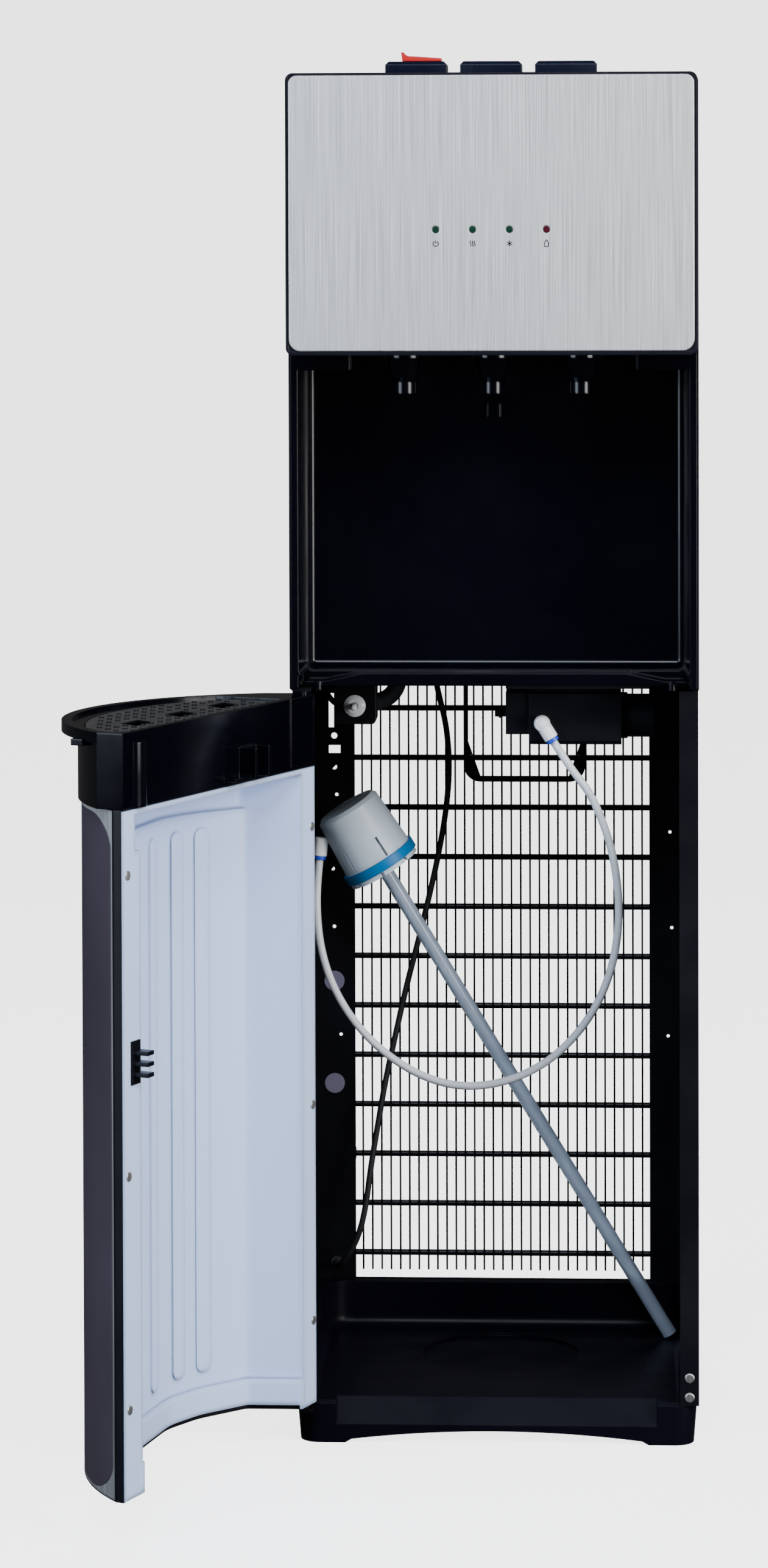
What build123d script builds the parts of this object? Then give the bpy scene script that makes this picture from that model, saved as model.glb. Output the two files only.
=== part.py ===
"""Bottom load water cooler, standing open: cabinet, head with three taps, bow-fronted door.

Frame: origin on the floor at the middle of the base, +X to the viewer's right, +Y to the back,
+Z up.  Millimetres.  The door is drawn shut and then swung open about its hinge.
"""
from build123d import *
from math import atan2, cos, degrees, pi, radians, sin, sqrt, tan
import os

# ---------------------------------------------------------------- driving dimensions
# Cabinet
cabinet_width = 320.0          # over the side panels
sheet = 1.0                    # sheet steel of the side, rear and shelf panels
head_front_y = -220.0          # face of the steel front plate
cheek_y = -160.0               # front edge of the cabinet beside the dispensing alcove
pillar_y = -128.0              # front edge of the cabinet beside the bottle bay
rear_y = 127.0                 # outer face of the rear panel
panel_bottom_z = 32.0          # lower edge of the side panels
head_top_z = 1082.0            # top of the black top mouldings
head_bottom_z = 865.0          # lower edge of the head
cover_height = 18.0            # depth of the top cover's skirt
cover_wall = 3.0
seat_gap = 0.3                 # clearance between pieces that are screwed or clipped together

# Base moulding
base_draft = 3.75              # each side is drawn in this much towards the floor
base_front_y = -128.0
base_rear_y = 126.0
base_floor_z = 34.0            # the floor that the bottle stands on
base_floor_wall = 3.0
base_side_z = 64.0
base_rear_z = 72.0
base_front_z = 46.0            # low front sill that the bottle slides over
base_tray_wall = 8.0
base_rim = 14.0                # width of the rim that stands on the floor
base_corner = 16.0
arch_height = 10.0             # front apron clears the floor by this at the middle
arch_inset = 45.0              # from each side of the cabinet to the arch
apron_depth = 16.0             # the recess behind the sloping apron
dish_radius = 64.0
dish_depth = 2.5
dish_y = 30.0

# Side pillars
pillar_flange = 15.0
screw_head_radius = 4.0
screw_shank_radius = 1.8
pillar_screw_z = (54.0, 38.6)

# Rear panel; holes are given by side, distance in from that side, height and radius
rear_flange = 35.5             # solid strip each side of the opening
rear_opening_top = 640.0
flange_holes = [
    (-1, 18.2, 534.0, 2.6), (-1, 18.2, 507.5, 2.3), (-1, 20.2, 484.0, 1.5), (-1, 16.7, 420.9, 1.6),
    (-1, 17.8, 371.7, 1.5), (-1, 23.2, 279.9, 1.4), (1, 18.0, 452.9, 1.4), (1, 16.6, 371.8, 1.4),
    (1, 19.8, 279.9, 1.4), (1, 21.2, 97.7, 1.4),
]
flange_slots = [(13.6, 23.4, 519.2, 525.9), (13.6, 18.0, 541.0, 570.0)]
plug_zs = (325.5, 238.4)       # snap-in hole plugs in the left flange
plug_inset = 17.8
plug_radius = 8.5
plug_thickness = 1.2
vent_rows = 8
vent_rise = 28.0               # lowest row of vents above the opening
vent_pitch = 11.0
vent_height = 4.0
vent_gap = 20.0                # from the middle line to the vents

# Rocker switches in the rear panel
rocker_xs = (-34.0, 0.0)
rocker_drop = 102.0            # below the top of the head
rocker_half_width = 7.0
rocker_half_height = 11.0
rocker_frame_lip = 2.0
rocker_frame_wall = 1.7
rocker_frame_depth = 14.0
rocker_pin_radius = 1.5
rocker_pin_depth = 3.0         # pivot inside the rear panel's outer face
pin_clearance = 0.05

# Shelf under the cooling gear, with the alcove in front of it
shelf_z = 602.4                # top of the shelf panel
shelf_thickness = 1.2
alcove_back_y = -68.0
alcove_ceiling_z = 852.0
alcove_wall = 3.0
alcove_side = 7.0              # from the cabinet's side to the alcove's side wall
alcove_taper = 4.0
alcove_back_radius = 5.0
alcove_floor_radius = 6.0
lip_top_z = 612.0
lip_bottom_z = 602.7
lip_front_y = -130.0
lip_chamfer = (26.0, 57.0)     # from the side: where the lip's end starts to slope, and where it ends
peg_inset = 20.4
peg_radius = 3.6
lug_x = -1.4
lug_z = 821.0
lug_length = 9.0
lug_radius = 5.0

# Condenser on the back
condenser_tube_radius = 2.5
condenser_wire_radius = 0.8
condenser_pitch = 42.2         # between horizontal runs
condenser_runs = 14
condenser_first_z = 92.8
condenser_overlap = 4.5        # straight runs reach this far past the opening
wire_pitch = 7.9
wire_margin = 6.0              # from the opening's side to the first wire
wire_overhang = 14.0
wire_y = 130.2
line_insets = (18.0, 4.4)      # where the two lines run down outside the rear panel
line_bend = 6.5

# Compressor
compressor_inset = 82.0        # from the cabinet's left side to its middle
compressor_y = 44.0
compressor_half_x = 62.0
compressor_half_y = 50.0
compressor_height = 125.0
compressor_dome = 22.0
mount_height = 9.0
mount_radius = 8.0
foot_thickness = 3.0
foot_overhang = 6.0
foot_half_y = 32.0
port_rise = (99.0, 114.0)      # discharge and suction stubs above the shelf
port_offset = (38.0, -18.0)
port_radius = 4.5
port_end_y = 98.0

# Tanks
tank_gap = 9.0                 # from the side panel to the cold tank
tank_divide = 4.0              # from the middle line to the cold tank
cold_tank_front_y = -60.0
cold_tank_rear_y = 100.0
cold_tank_low_z = 800.0
cold_tank_drop = 36.0          # top of the tank below the top of the head
cold_tank_corner = 20.0
foam_thickness = 22.0
tank_port_radius = 8.0
hot_tank_inset = 82.0          # from the cabinet's right side to its middle
hot_tank_y = 30.0
hot_tank_radius = 52.0
hot_tank_low_z = 640.0
hot_tank_height = 196.0
hot_tank_wall = 2.0
hot_tank_corner = 10.0
stand_sheet = 2.0
stand_half_y = 40.0
stand_clearance = 36.0         # in front of the compressor's middle

# Head
head_front_inset = 2.0         # front narrower than the cabinet, each side
head_wall = 3.0
head_corner = 6.0
plate_margin = 2.6             # black border beside the plate
plate_low_margin = 3.4
plate_high_margin = 2.0
plate_thickness = 1.2
plate_top_radius = 6.5
plate_bottom_radius = 9.0
lamp_radius = 2.5
lamp_pitch = 28.3
lamp_drop = 12.7               # below the middle of the plate
board_thickness = 1.6
display_half = (60.0, 20.0)    # half width and half height of the display board
lamp_board_depth = 9.0         # behind the face of the plate
post_inset = (8.0, 6.0)
post_radius = 3.0

# Keys on top of the head
key_width = 47.6
key_depth = 27.0
key_pitch = 57.6
key_y = -194.0
key_rise = 9.0                 # above the head's top
key_skirt = 8.5                # below the head's top
key_skirt_lip = 2.0
key_wall = 2.5
key_travel = 5.0
key_clearance = 0.5
key_bevel = 2.6
key_board_depth = 23.0         # below the head's top
key_board_half = (92.0, 15.0)
key_rib_offset = 20.0

# Sliding catch on the hot key
catch_offset = 4.2             # to the right of the key's middle
catch_width = 30.0
catch_depth = 16.0
catch_travel = 4.0
catch_tongue = 4.0             # half width of the tongue through the key

# Taps
tap_pitch = 68.7
tap_y = -166.0
tap_flange_radius = 19.0       # flange that rests on the head's sole
tap_flange_lip = 3.0
tap_nozzle_radius = 9.0
tap_bore_radius = 4.0
tap_nozzle_low_z = 834.0
tap_nozzle_high_z = 843.5
valve_half = 14.0
valve_height = 22.0
solenoid_radius = 11.0
solenoid_height = 26.0

# Pump under the shelf
pump_x = (7.4, 100.0)
pump_z = (549.4, 590.5)
pump_front_y = -75.0
pump_back_y = -30.0
pump_inlet_radius = 4.0
motor_end_x = 128.4
motor_radius = 17.4
motor_ring = 5.0
elbow_x = 36.7
elbow_z = 567.5
elbow_turn = 32.0              # the barrel's tilt from straight down, to the right
elbow_reach = 14.0
elbow_radius = 5.8
elbow_stand_off = 9.0
bracket_thickness = 2.4
bracket_drop = 1.6             # below the shelf
bracket_x = (8.0, 122.0)
bracket_y = (-104.0, -24.0)

# Bottle switch
switch_x = -114.6
switch_z = 578.2
switch_face_y = -55.0
switch_box_x = (-130.8, -97.4)
switch_box_low_z = 563.3
switch_box_depth = 31.0
bezel_radius = 8.9
plunger_radius = 2.6
plunger_travel = 5.0

# Pipes under the shelf and the frame on the back
loop_pipe_x = (-128.0, -83.0)
loop_pipe_y = 30.0
loop_pipe_radius = 7.0
loop_pipe_low_z = 573.0
arc_hose_route = [(-104, 0), (-84, -23.2), (-42, -35.7), (14, -21.2), (44, 0)]  # x and drop
arc_hose_y = 78.0
arc_hose_radius = 2.9
handle_x = (-32.4, 70.6)
handle_low_z = 493.6
handle_rise = 26.0             # above the rear opening
handle_bar = 3.6
handle_thickness = 5.0

# Black lead: from its bush in the shelf down the bay's back to its bush in the left rear flange
lead_radius = 2.5
lead_exit_inset = 19.0
lead_exit_z = 86.0
bush_neck_radius = 5.0
bush_flange = 3.0
lead_route = [
    (-56.0, 112, 601.0), (-56.0, 112, 586), (-51.5, 112.5, 566), (-46.0, 113, 543), (-43.5, 113.5, 509),
    (-46.5, 113.5, 473), (-53.0, 113, 436), (-61.5, 112, 398), (-71.0, 110, 360), (-81.0, 107, 322),
    (-89.5, 104, 284), (-98.0, 100.7, 246), (-104.5, 96, 208), (-110.5, 92, 172), (-114.2, 89.5, 142),
    (-119.5, 88.0, 119), (-128.0, 89.5, 101.0), (-136.5, 97.0, 89.5), (-141.0, 110.0, 86.0),
    (-141.0, 124.0, 86.0),
]

# Door
door_side_gap = 3.0            # the door is narrower than the cabinet by this, each side
door_back_y = -129.5           # its inner face when shut
door_edge_depth = 8.0          # thickness at the two upright edges
door_bow = 88.0                # how far the front bows out past the edges
door_low_z = 34.0
door_high_z = 540.0            # top of the steel-faced part
door_shell_wall = 2.4
door_end_wall = 3.0
door_column = 14.0             # solid strip at each upright edge that takes the screws
door_open_angle = 113.0        # as it stands in the photograph
hinge_inset = 7.0              # hinge axis from the door's upright edge and from its inner face
hinge_pin_radius = 2.5
hinge_pin_length = 14.0
hinge_bore_clearance = 0.06
hinge_plate_thickness = 2.4
door_gap = 3.0                 # between the hinge plates and the door's ends
corner_radius = 4.5
skin_thickness = 0.8
skin_inset = 1.0               # steel sheet's edge from the door's upright edge
skin_lip = 0.6                 # edge of the door body above and below the steel sheet
panel_thickness = 0.5
panel_corner = 24.0
panel_margins = (3.0, 5.0)     # below and above the dark panel

# Liner of the door; u runs from the hinge edge, and the last two points from the free edge
liner_wall = 1.6
liner_low_hinge = [(26.0, 1.0), (43.0, 42.0), (86.0, 62.0), (124.0, 69.0), (195.0, 58.0)]
liner_low_free = [(50.0, 40.0), (26.0, 1.0)]
liner_high_hinge = [(26.0, 1.0), (44.0, 46.0), (86.0, 66.0), (124.0, 73.0), (195.0, 62.0)]
liner_high_free = [(44.0, 44.0), (18.0, 1.0)]
liner_ledge_z = 508.0
liner_bends = (2.0, 10.0, 60.0, 60.0, 60.0, 10.0, 2.0)  # radii along both lines
liner_foot_z = 38.0            # lower edge of the recess
liner_foot_band = 20.0         # height of the raised band along the lower edge
liner_band_rise = 3.0          # how far that band stands out
flute_us = (82.0, 111.0, 154.0)  # from the hinge edge
flute_half = 7.0
flute_depth = 1.8
flute_length = 425.0
flute_top_gap = 12.0
liner_screw_zs = (492.0, 272.0, 101.0)
liner_screw_insets = (9.0, 6.0)
liner_low_screw = (37.0, 66.0)  # from the free edge, and its height

# Latch
latch_inset = (23.0, 10.0)     # plate's two edges from the door's free edge
latch_z = (338.0, 370.0)
latch_plate = 1.2
latch_reach = 13.0
prong_zs = (344.0, 352.0, 360.0)
prong_thickness = 3.0
strike_depth = 12.2            # reach of the keeper from the side panel
strike_wall = 6.0

# Drip housing on top of the door
housing_high_z = 588.0
housing_bow = 74.0
housing_edge = 22.0
rim_high_z = 596.0
rim_bow = 92.0
rim_edge_depth = 21.5
rim_lip = 2.4
pocket_insets = (46.0, 10.0)   # from the hinge edge and from the free edge
pocket_floor_z = 563.0
pocket_corner = 9.0
grille_thickness = 2.0
slot_half_u = 14.0
slot_half_v = 9.5
slot_slant = 9.0
stud_rows = 7
stud_columns = 18
stud_pitch = 13.5
stud_radius = 1.9
tray_wall = 2.0
tray_clearance = 0.6
hanger_u = 118.0
hanger_half = 13.0
hanger_z = (543.0, 567.0)

# Bottle probe and its hose
probe_top_inset = 32.2         # cap's closed end, from the cabinet's left side
probe_top_y = 50.0
probe_top_z = 484.0
probe_foot_inset = 19.5        # foot of the tube, from the cabinet's right side
probe_lean = 4.2               # to the back
probe_cap_radius = 27.5
probe_ring_radius = 32.5
probe_cap_length = 62.0
cap_wall = 2.4
cap_boss_length = 40.0
cap_slot_turns = (69.0, 130.0)
cap_slot_reach = (31.0, 49.0)  # along the axis
cap_lobes = 8                  # broad lobes of the lower rim, with narrow notches between
ring_height = 8.0
ring_wall = 1.6
dip_tube_radius = 6.0
dip_tube_bore = 4.6
dip_tube_start = 8.0
dip_tube_end = 522.0           # along the axis from the cap's closed end
socket_radius = 5.6
socket_length = 15.0
collet_radius = 5.0
collet_length = 3.0
hose_radius = 3.2
hose_route = [
    (74.5, -79, 512), (84.0, -74, 490), (91.5, -68, 467), (96.0, -62, 442),
    (98.0, -56, 416), (96.5, -49, 388), (91.0, -42, 361), (80.5, -35, 334), (64.5, -28, 309),
    (44.0, -21, 287.5), (20.0, -14, 272), (-6.5, -7, 262.5), (-34.0, 0, 260), (-60.5, 7, 265.5),
    (-85.0, 14, 277.5), (-107.0, 21, 294), (-126.0, 28, 315.5), (-140.5, 34, 341), (-149.0, 39, 369),
    (-152.0, 43, 398), (-151.5, 46, 422),
]
hose_cap_end = (-149.2, 46.6, 443.0)

# ---------------------------------------------------------------- worked out from the above
half = cabinet_width / 2
pillar_screw_x = half - pillar_flange / 2
inner_half = half - sheet
base_half = inner_half - seat_gap
base_foot_width = cabinet_width - 2 * base_draft
arch_half = half - arch_inset
rear_opening_half = half - rear_flange
condenser_half = rear_opening_half + condenser_overlap
wire_count = round(2 * (rear_opening_half - wire_margin) / wire_pitch) + 1
line_xs = [inset - half for inset in line_insets]
vent_low_z = rear_opening_top + vent_rise
rocker_z = head_top_z - rocker_drop
alcove_half = half - alcove_side
peg_x = half - peg_inset
head_front_half = half - head_front_inset
plate_half = head_front_half - plate_margin
plate_low_z = head_bottom_z + plate_low_margin
plate_high_z = head_top_z - plate_high_margin
lamp_z = (plate_low_z + plate_high_z) / 2 - lamp_drop
key_board_z = head_top_z - key_board_depth
lamp_board_y = head_front_y + lamp_board_depth
compressor_x = compressor_inset - half
hot_tank_x = half - hot_tank_inset
cold_tank_x = (tank_gap - inner_half, -tank_divide)
cold_tank_high_z = head_top_z - cold_tank_drop
lead_exit_x = half - lead_exit_inset
probe_top_x = probe_top_inset - half
probe_slope = (half - probe_foot_inset - probe_top_x) / dip_tube_end
under_shelf_z = shelf_z - shelf_thickness
door_width = cabinet_width - 2 * door_side_gap
door_half = door_width / 2
band_half = door_half - skin_inset
hinge_x = -door_half + hinge_inset
hinge_y = door_back_y - hinge_inset
pocket_u = (pocket_insets[0], door_width - pocket_insets[1])
liner_low = liner_low_hinge + [(door_width - u, v) for u, v in liner_low_free]
liner_high = liner_high_hinge + [(door_width - u, v) for u, v in liner_high_free]
liner_screw_spots = [(u, z) for u in (liner_screw_insets[0], door_width - liner_screw_insets[1])
                     for z in liner_screw_zs]
lamp_xs = [lamp_pitch * (i - 1.5) for i in range(4)]
key_xs = [key_pitch * (i - 1) for i in range(3)]
tap_xs = [tap_pitch * (i - 1) for i in range(3)]
tap_bay_half = tap_pitch + 2 * tap_flange_radius + 5.3

parts = {}


# ---------------------------------------------------------------- small helpers
def block(x0, x1, y0, y1, z0, z1):
    """A box between two opposite corners."""
    middle = Pos((x0 + x1) / 2, (y0 + y1) / 2, (z0 + z1) / 2)
    return middle * Box(abs(x1 - x0), abs(y1 - y0), abs(z1 - z0))


def upright(x, y, z0, z1, radius):
    """A vertical cylinder."""
    return Pos(x, y, (z0 + z1) / 2) * Cylinder(radius, z1 - z0)


def lengthwise(x, z, y0, y1, radius):
    """A cylinder along Y."""
    return Pos(x, (y0 + y1) / 2, z) * Rot(90, 0, 0) * Cylinder(radius, y1 - y0)


def crosswise(y, z, x0, x1, radius):
    """A cylinder along X."""
    return Pos((x0 + x1) / 2, y, z) * Rot(0, 90, 0) * Cylinder(radius, x1 - x0)


def prism(outline, z0, z1):
    """Extrude a plan outline upwards."""
    return extrude(Plane.XY.offset(z0) * outline, amount=z1 - z0)


def side_prism(outline, x0, x1):
    """Extrude an outline drawn in (Y, Z) along X."""
    return extrude(Plane.YZ.offset(x0) * outline, amount=x1 - x0)


def front_prism(outline, y0, y1):
    """Extrude an outline drawn in (X, Z) along Y."""
    plane = Plane(origin=(0, y1, 0), x_dir=(1, 0, 0), z_dir=(0, -1, 0))
    return extrude(plane * outline, amount=y1 - y0)


def polygon(*points):
    """A face inside straight edges."""
    return make_face(Polyline(*points, close=True))


def bow_outline(half_width, edge_depth, bow, inset=0.0):
    """Plan of the bowed door: flat at the back, an arc in front, short straight ends."""
    w = half_width - inset
    back = door_back_y - inset
    reach = bow_reach(half_width, edge_depth, bow)
    radius = reach[0] - inset
    centre_y = reach[1]
    end_y = centre_y - sqrt(radius ** 2 - w ** 2)
    apex_y = centre_y - radius
    lines = [
        Line((-w, end_y), (-w, back)),
        Line((-w, back), (w, back)),
        Line((w, back), (w, end_y)),
        ThreePointArc((w, end_y), (0, apex_y), (-w, end_y)),
    ]
    return make_face(Wire(lines))


def bow_reach(half_width, edge_depth, bow):
    """Radius and centre of the bowed front."""
    radius = (half_width ** 2 + bow ** 2) / (2 * bow)
    return radius, door_back_y - edge_depth - bow + radius


def on_door(shape):
    """Swing a piece that was drawn on the shut door to where the open door holds it."""
    return Pos(hinge_x, hinge_y, 0) * Rot(0, 0, -door_open_angle) * Pos(-hinge_x, -hinge_y, 0) * shape


def group(shapes):
    """Several separate solids in one node."""
    return Compound(children=list(shapes))


def keep(name, shape):
    """Store one node."""
    parts[name] = shape


# ---------------------------------------------------------------- cabinet
def base_tray():
    """Black moulding under the bottle: tray above, rim and arched apron below."""
    upper_front = pillar_y + sheet + seat_gap
    upper_rear = rear_y - sheet - seat_gap
    foot = Pos(0, (base_front_y + base_rear_y) / 2) * RectangleRounded(
        base_foot_width, base_rear_y - base_front_y - 3, base_corner)
    ledge = Pos(0, (base_front_y + base_rear_y) / 2) * RectangleRounded(
        2 * base_half, base_rear_y - base_front_y, base_corner)
    lower = loft([Plane.XY * foot, Plane.XY.offset(panel_bottom_z) * ledge])
    upper = block(-base_half, base_half, upper_front, upper_rear, panel_bottom_z, base_rear_z)
    body = lower + upper

    tray_half = base_half - base_tray_wall
    tray_rear = upper_rear - 9.0
    pocket = prism(Pos(0, (tray_rear - 250) / 2) * RectangleRounded(2 * tray_half, tray_rear + 250, 24),
                   base_floor_z, base_rear_z + 20)
    pocket = fillet(pocket.edges().group_by(Axis.Z)[0], 9.0)
    body -= pocket
    skyline = polygon((-200, base_front_z), (upper_front + 16, base_front_z),
                       (upper_front + 30, base_side_z),
                      (tray_rear - 40, base_side_z), (tray_rear - 22, base_rear_z),
                      (200, base_rear_z), (200, 200), (-200, 200))
    body -= side_prism(skyline, -cabinet_width, cabinet_width)
    body -= upright(0, dish_y, base_floor_z - dish_depth, base_floor_z + 1, dish_radius)

    apron_top_y = base_front_y + apron_depth
    apron_low_z = arch_height + 4.0
    slope_half = arch_half + 12.0
    body -= side_prism(polygon((base_front_y - 9, apron_low_z), (base_front_y, apron_low_z),
                               (apron_top_y, base_floor_z), (apron_top_y, base_front_z + 2),
                               (base_front_y - 9, base_front_z + 2)),
                       -slope_half, slope_half)
    under = base_floor_z - base_floor_wall - dish_depth + 0.5
    hollow = polygon((base_front_y + 8, -1), (base_front_y + 8, apron_low_z - 5),
                     (apron_top_y + 8, under), (base_rear_y - base_rim, under),
                     (base_rear_y - base_rim, -1))
    hollow_half = base_foot_width / 2 - base_rim
    body -= side_prism(hollow, -hollow_half, hollow_half)
    arch = make_face(Wire([
        Line((-arch_half - 7, -1), (-arch_half, 3)),
        ThreePointArc((-arch_half, 3), (0, arch_height), (arch_half, 3)),
        Line((arch_half, 3), (arch_half + 7, -1)),
        Line((arch_half + 7, -1), (-arch_half - 7, -1)),
    ]))
    body -= front_prism(arch, base_front_y - 9, base_front_y + 12)
    for side in (-1, 1):
        boss = block(side * (half - pillar_flange - 1), side * base_half, upper_front, upper_front + 13,
                     base_floor_z - 2, base_side_z)
        body += boss
    for z in pillar_screw_z:
        body -= lengthwise(pillar_screw_x, z, upper_front - 1, upper_front + 10, screw_shank_radius + 0.1)
    return body - hinge_tongue(seat_gap)


def side_panel(side):
    """Sheet steel side with its front return flange; side is -1 for left and +1 for right."""
    outline = polygon((pillar_y, panel_bottom_z), (rear_y - sheet, panel_bottom_z),
                      (rear_y - sheet, head_top_z - cover_height),
                      (cheek_y, head_top_z - cover_height), (cheek_y, lip_bottom_z),
                      (pillar_y, lip_bottom_z - 5))
    x0, x1 = sorted((side * inner_half, side * half))
    panel = side_prism(outline, x0, x1)
    flange = block(side * (half - pillar_flange), side * half, pillar_y, pillar_y + sheet,
                   panel_bottom_z, lip_bottom_z - 5)
    panel += flange
    if side > 0:
        for z in pillar_screw_z:
            panel -= lengthwise(pillar_screw_x, z, pillar_y - 1, pillar_y + sheet + 1,
                                screw_shank_radius + 0.2)
    return panel


def pillar_screws():
    """Two pan-head screws through the right-hand pillar flange into the base moulding."""
    x = pillar_screw_x
    screws = []
    for z in pillar_screw_z:
        head = lengthwise(x, z, pillar_y - 1.2, pillar_y, screw_head_radius)
        head = fillet(head.edges().group_by(Axis.Y)[0], 0.8)
        screws.append(head + lengthwise(x, z, pillar_y, pillar_y + 10, screw_shank_radius))
    return screws


def rear_panel():
    """Sheet steel back: two punched flanges beside the bottle bay, closed above it."""
    panel = block(-half, half, rear_y - sheet, rear_y, panel_bottom_z, head_top_z - cover_height)
    panel -= block(-rear_opening_half, rear_opening_half, rear_y - 5, rear_y + 5,
                   base_rear_z + 1, rear_opening_top)
    for side, inset, z, radius in flange_holes:
        panel -= lengthwise(side * (half - inset), z, rear_y - 5, rear_y + 5, radius)
    for outer, inner, z0, z1 in flange_slots:
        panel -= block(outer - half, inner - half, rear_y - 5, rear_y + 5, z0, z1)
    for row in range(vent_rows):
        z = vent_low_z + row * vent_pitch
        for side in (-1, 1):
            panel -= block(side * vent_gap, side * (rear_opening_half - 12.5), rear_y - 5, rear_y + 5,
                           z, z + vent_height)
    for x in rocker_xs:
        panel -= block(x - rocker_half_width, x + rocker_half_width, rear_y - 5, rear_y + 5,
                       rocker_z - rocker_half_height, rocker_z + rocker_half_height)
    for x, (_, z) in zip(line_xs, compressor_ports()):
        panel -= lengthwise(x, z, rear_y - 5, rear_y + 5, condenser_tube_radius + seat_gap)
    panel -= lengthwise(-lead_exit_x, lead_exit_z, rear_y - 5, rear_y + 5, bush_neck_radius + seat_gap)
    return panel


def hole_plugs():
    """Round snap-in plugs over the two large holes of the left rear flange."""
    plugs = []
    for z in plug_zs:
        cap = lengthwise(plug_inset - half, z, rear_y - sheet - plug_thickness, rear_y - sheet, plug_radius)
        plugs.append(cap)
    return plugs


def shelf_panel():
    """Sheet shelf over the bottle bay, carrying the compressor above and the pump below."""
    front = lip_front_y - 1 + 2 * peg_radius + 0.8
    panel = block(-inner_half + seat_gap, inner_half - seat_gap, front, rear_y - sheet - seat_gap,
                  under_shelf_z, shelf_z)
    panel -= upright(lead_route[0][0], lead_route[0][1], shelf_z - 5, shelf_z + 5, bush_neck_radius + 0.2)
    return panel


def hinge_plates():
    """Upper and lower hinge plates, each with its pin, screwed to the cabinet and to the base."""
    low_top = door_low_z - door_gap
    right = -peg_x - peg_radius - 1.3
    upper = block(-inner_half + 0.3, right, hinge_y - 7, pillar_y + 16,
                  under_shelf_z - hinge_plate_thickness, under_shelf_z)
    upper += upright(hinge_x, hinge_y, rim_high_z - hinge_pin_length - 2, under_shelf_z - 1,
                     hinge_pin_radius)
    lower = hinge_tongue(0.0)
    lower += upright(hinge_x, hinge_y, low_top - 1, door_low_z + hinge_pin_length, hinge_pin_radius)
    return [upper, lower]


def hinge_tongue(gap):
    """Flat lower hinge plate that pushes into the base; a gap makes its slot."""
    top = door_low_z - door_gap
    return block(-inner_half + 6 - gap, hinge_x + 6 + gap, hinge_y - 7, pillar_y + 6 + gap,
                 top - hinge_plate_thickness - gap, top + gap)


# ---------------------------------------------------------------- dispensing alcove and head
def alcove_liner():
    """Glossy black recess under the head: back wall, cheeks, ceiling and the lip below."""
    shell = block(-base_half, base_half, cheek_y, alcove_back_y, lip_bottom_z, head_bottom_z - seat_gap)
    cavity = Polyline((-alcove_half, cheek_y - 5), (alcove_taper - alcove_half, alcove_back_y - alcove_wall),
                      (alcove_half - alcove_taper, alcove_back_y - alcove_wall),
                       (alcove_half, cheek_y - 5), close=True)
    plan = make_face(cavity)
    plan = fillet(plan.vertices().group_by(Axis.Y)[-1], alcove_back_radius)
    recess = prism(plan, lip_top_z, alcove_ceiling_z)
    low_rear = recess.edges().group_by(Axis.Z)[0].filter_by(lambda e: e.center().Y > cheek_y)
    recess = fillet(low_rear, alcove_floor_radius)
    shell -= recess
    shell -= block(-alcove_half, alcove_half, cheek_y - 5, lip_front_y, lip_bottom_z - 1, lip_top_z + 1)
    shell -= block(-tap_bay_half, tap_bay_half, cheek_y - 5, tap_y + tap_flange_radius - 1,
                   alcove_ceiling_z - 1, head_bottom_z + 1)
    for side in (-1, 1):
        start = side * (half - lip_chamfer[1])
        corner = polygon((start, lip_top_z + 1), (start, lip_top_z),
                         (side * (half - lip_chamfer[0]), lip_bottom_z + 3),
                         (side * alcove_half, lip_bottom_z + 3), (side * alcove_half, lip_top_z + 1))
        shell -= front_prism(corner, lip_front_y - 5, lip_front_y + 22)
        shell += upright(side * peg_x, lip_front_y - 1 + peg_radius, lip_bottom_z - 4.4, lip_bottom_z + 3,
                         peg_radius)
    lug_y = alcove_back_y - alcove_wall
    shell += block(lug_x - lug_radius, lug_x + lug_radius, lug_y - 5, lug_y + 1, lug_z - lug_length, lug_z)
    shell += lengthwise(lug_x, lug_z, lug_y - 5, lug_y + 1, lug_radius)
    return shell


def head_housing():
    """Black moulding around the steel plate, open at the back, with the key and tap openings."""
    front = head_front_y + 1.0
    back = cheek_y - seat_gap
    plan = polygon((-head_front_half, front), (head_front_half, front), (half, back), (-half, back))
    shell = prism(plan, head_bottom_z, head_top_z)
    corners = [e for e in shell.edges() if abs(e.tangent_at(0.5).Y) > 0.9]
    shell = fillet(corners, head_corner)
    shell -= block(-head_front_half + head_wall, head_front_half - head_wall, front + head_wall, back + 5,
                   head_bottom_z + head_wall, head_top_z - head_wall)
    sole = block(-base_half, base_half, back - 5, tap_y + tap_flange_radius - 1.5,
                 head_bottom_z, head_bottom_z + head_wall)
    shell += sole
    shell -= block(-plate_half - seat_gap, plate_half + seat_gap, front - 1, front + 0.2,
                   plate_low_z - seat_gap, plate_high_z + seat_gap)
    for x in lamp_xs:
        shell -= lengthwise(x, lamp_z, front - 2, front + head_wall + 2, lamp_radius + seat_gap)
    for x in key_xs:
        shell -= block(x - key_width / 2 - key_clearance, x + key_width / 2 + key_clearance,
                       key_y - key_depth / 2 - key_clearance, key_y + key_depth / 2 + key_clearance,
                       head_top_z - 10, head_top_z + 2)
    for x in tap_xs:
        shell -= upright(x, tap_y, head_bottom_z - 2, head_bottom_z + 8,
                         tap_flange_radius - tap_flange_lip)
    for x in (-key_pitch - key_rib_offset, key_pitch + key_rib_offset):
        shell += block(x - 2, x + 2, front + 1, key_y + key_depth / 2 + 3, key_board_z - 10,
                       key_board_z - board_thickness)
    for x, z in lamp_board_posts():
        shell += lengthwise(x, z, front + 1, lamp_board_y - seat_gap, post_radius)
    return shell


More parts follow.
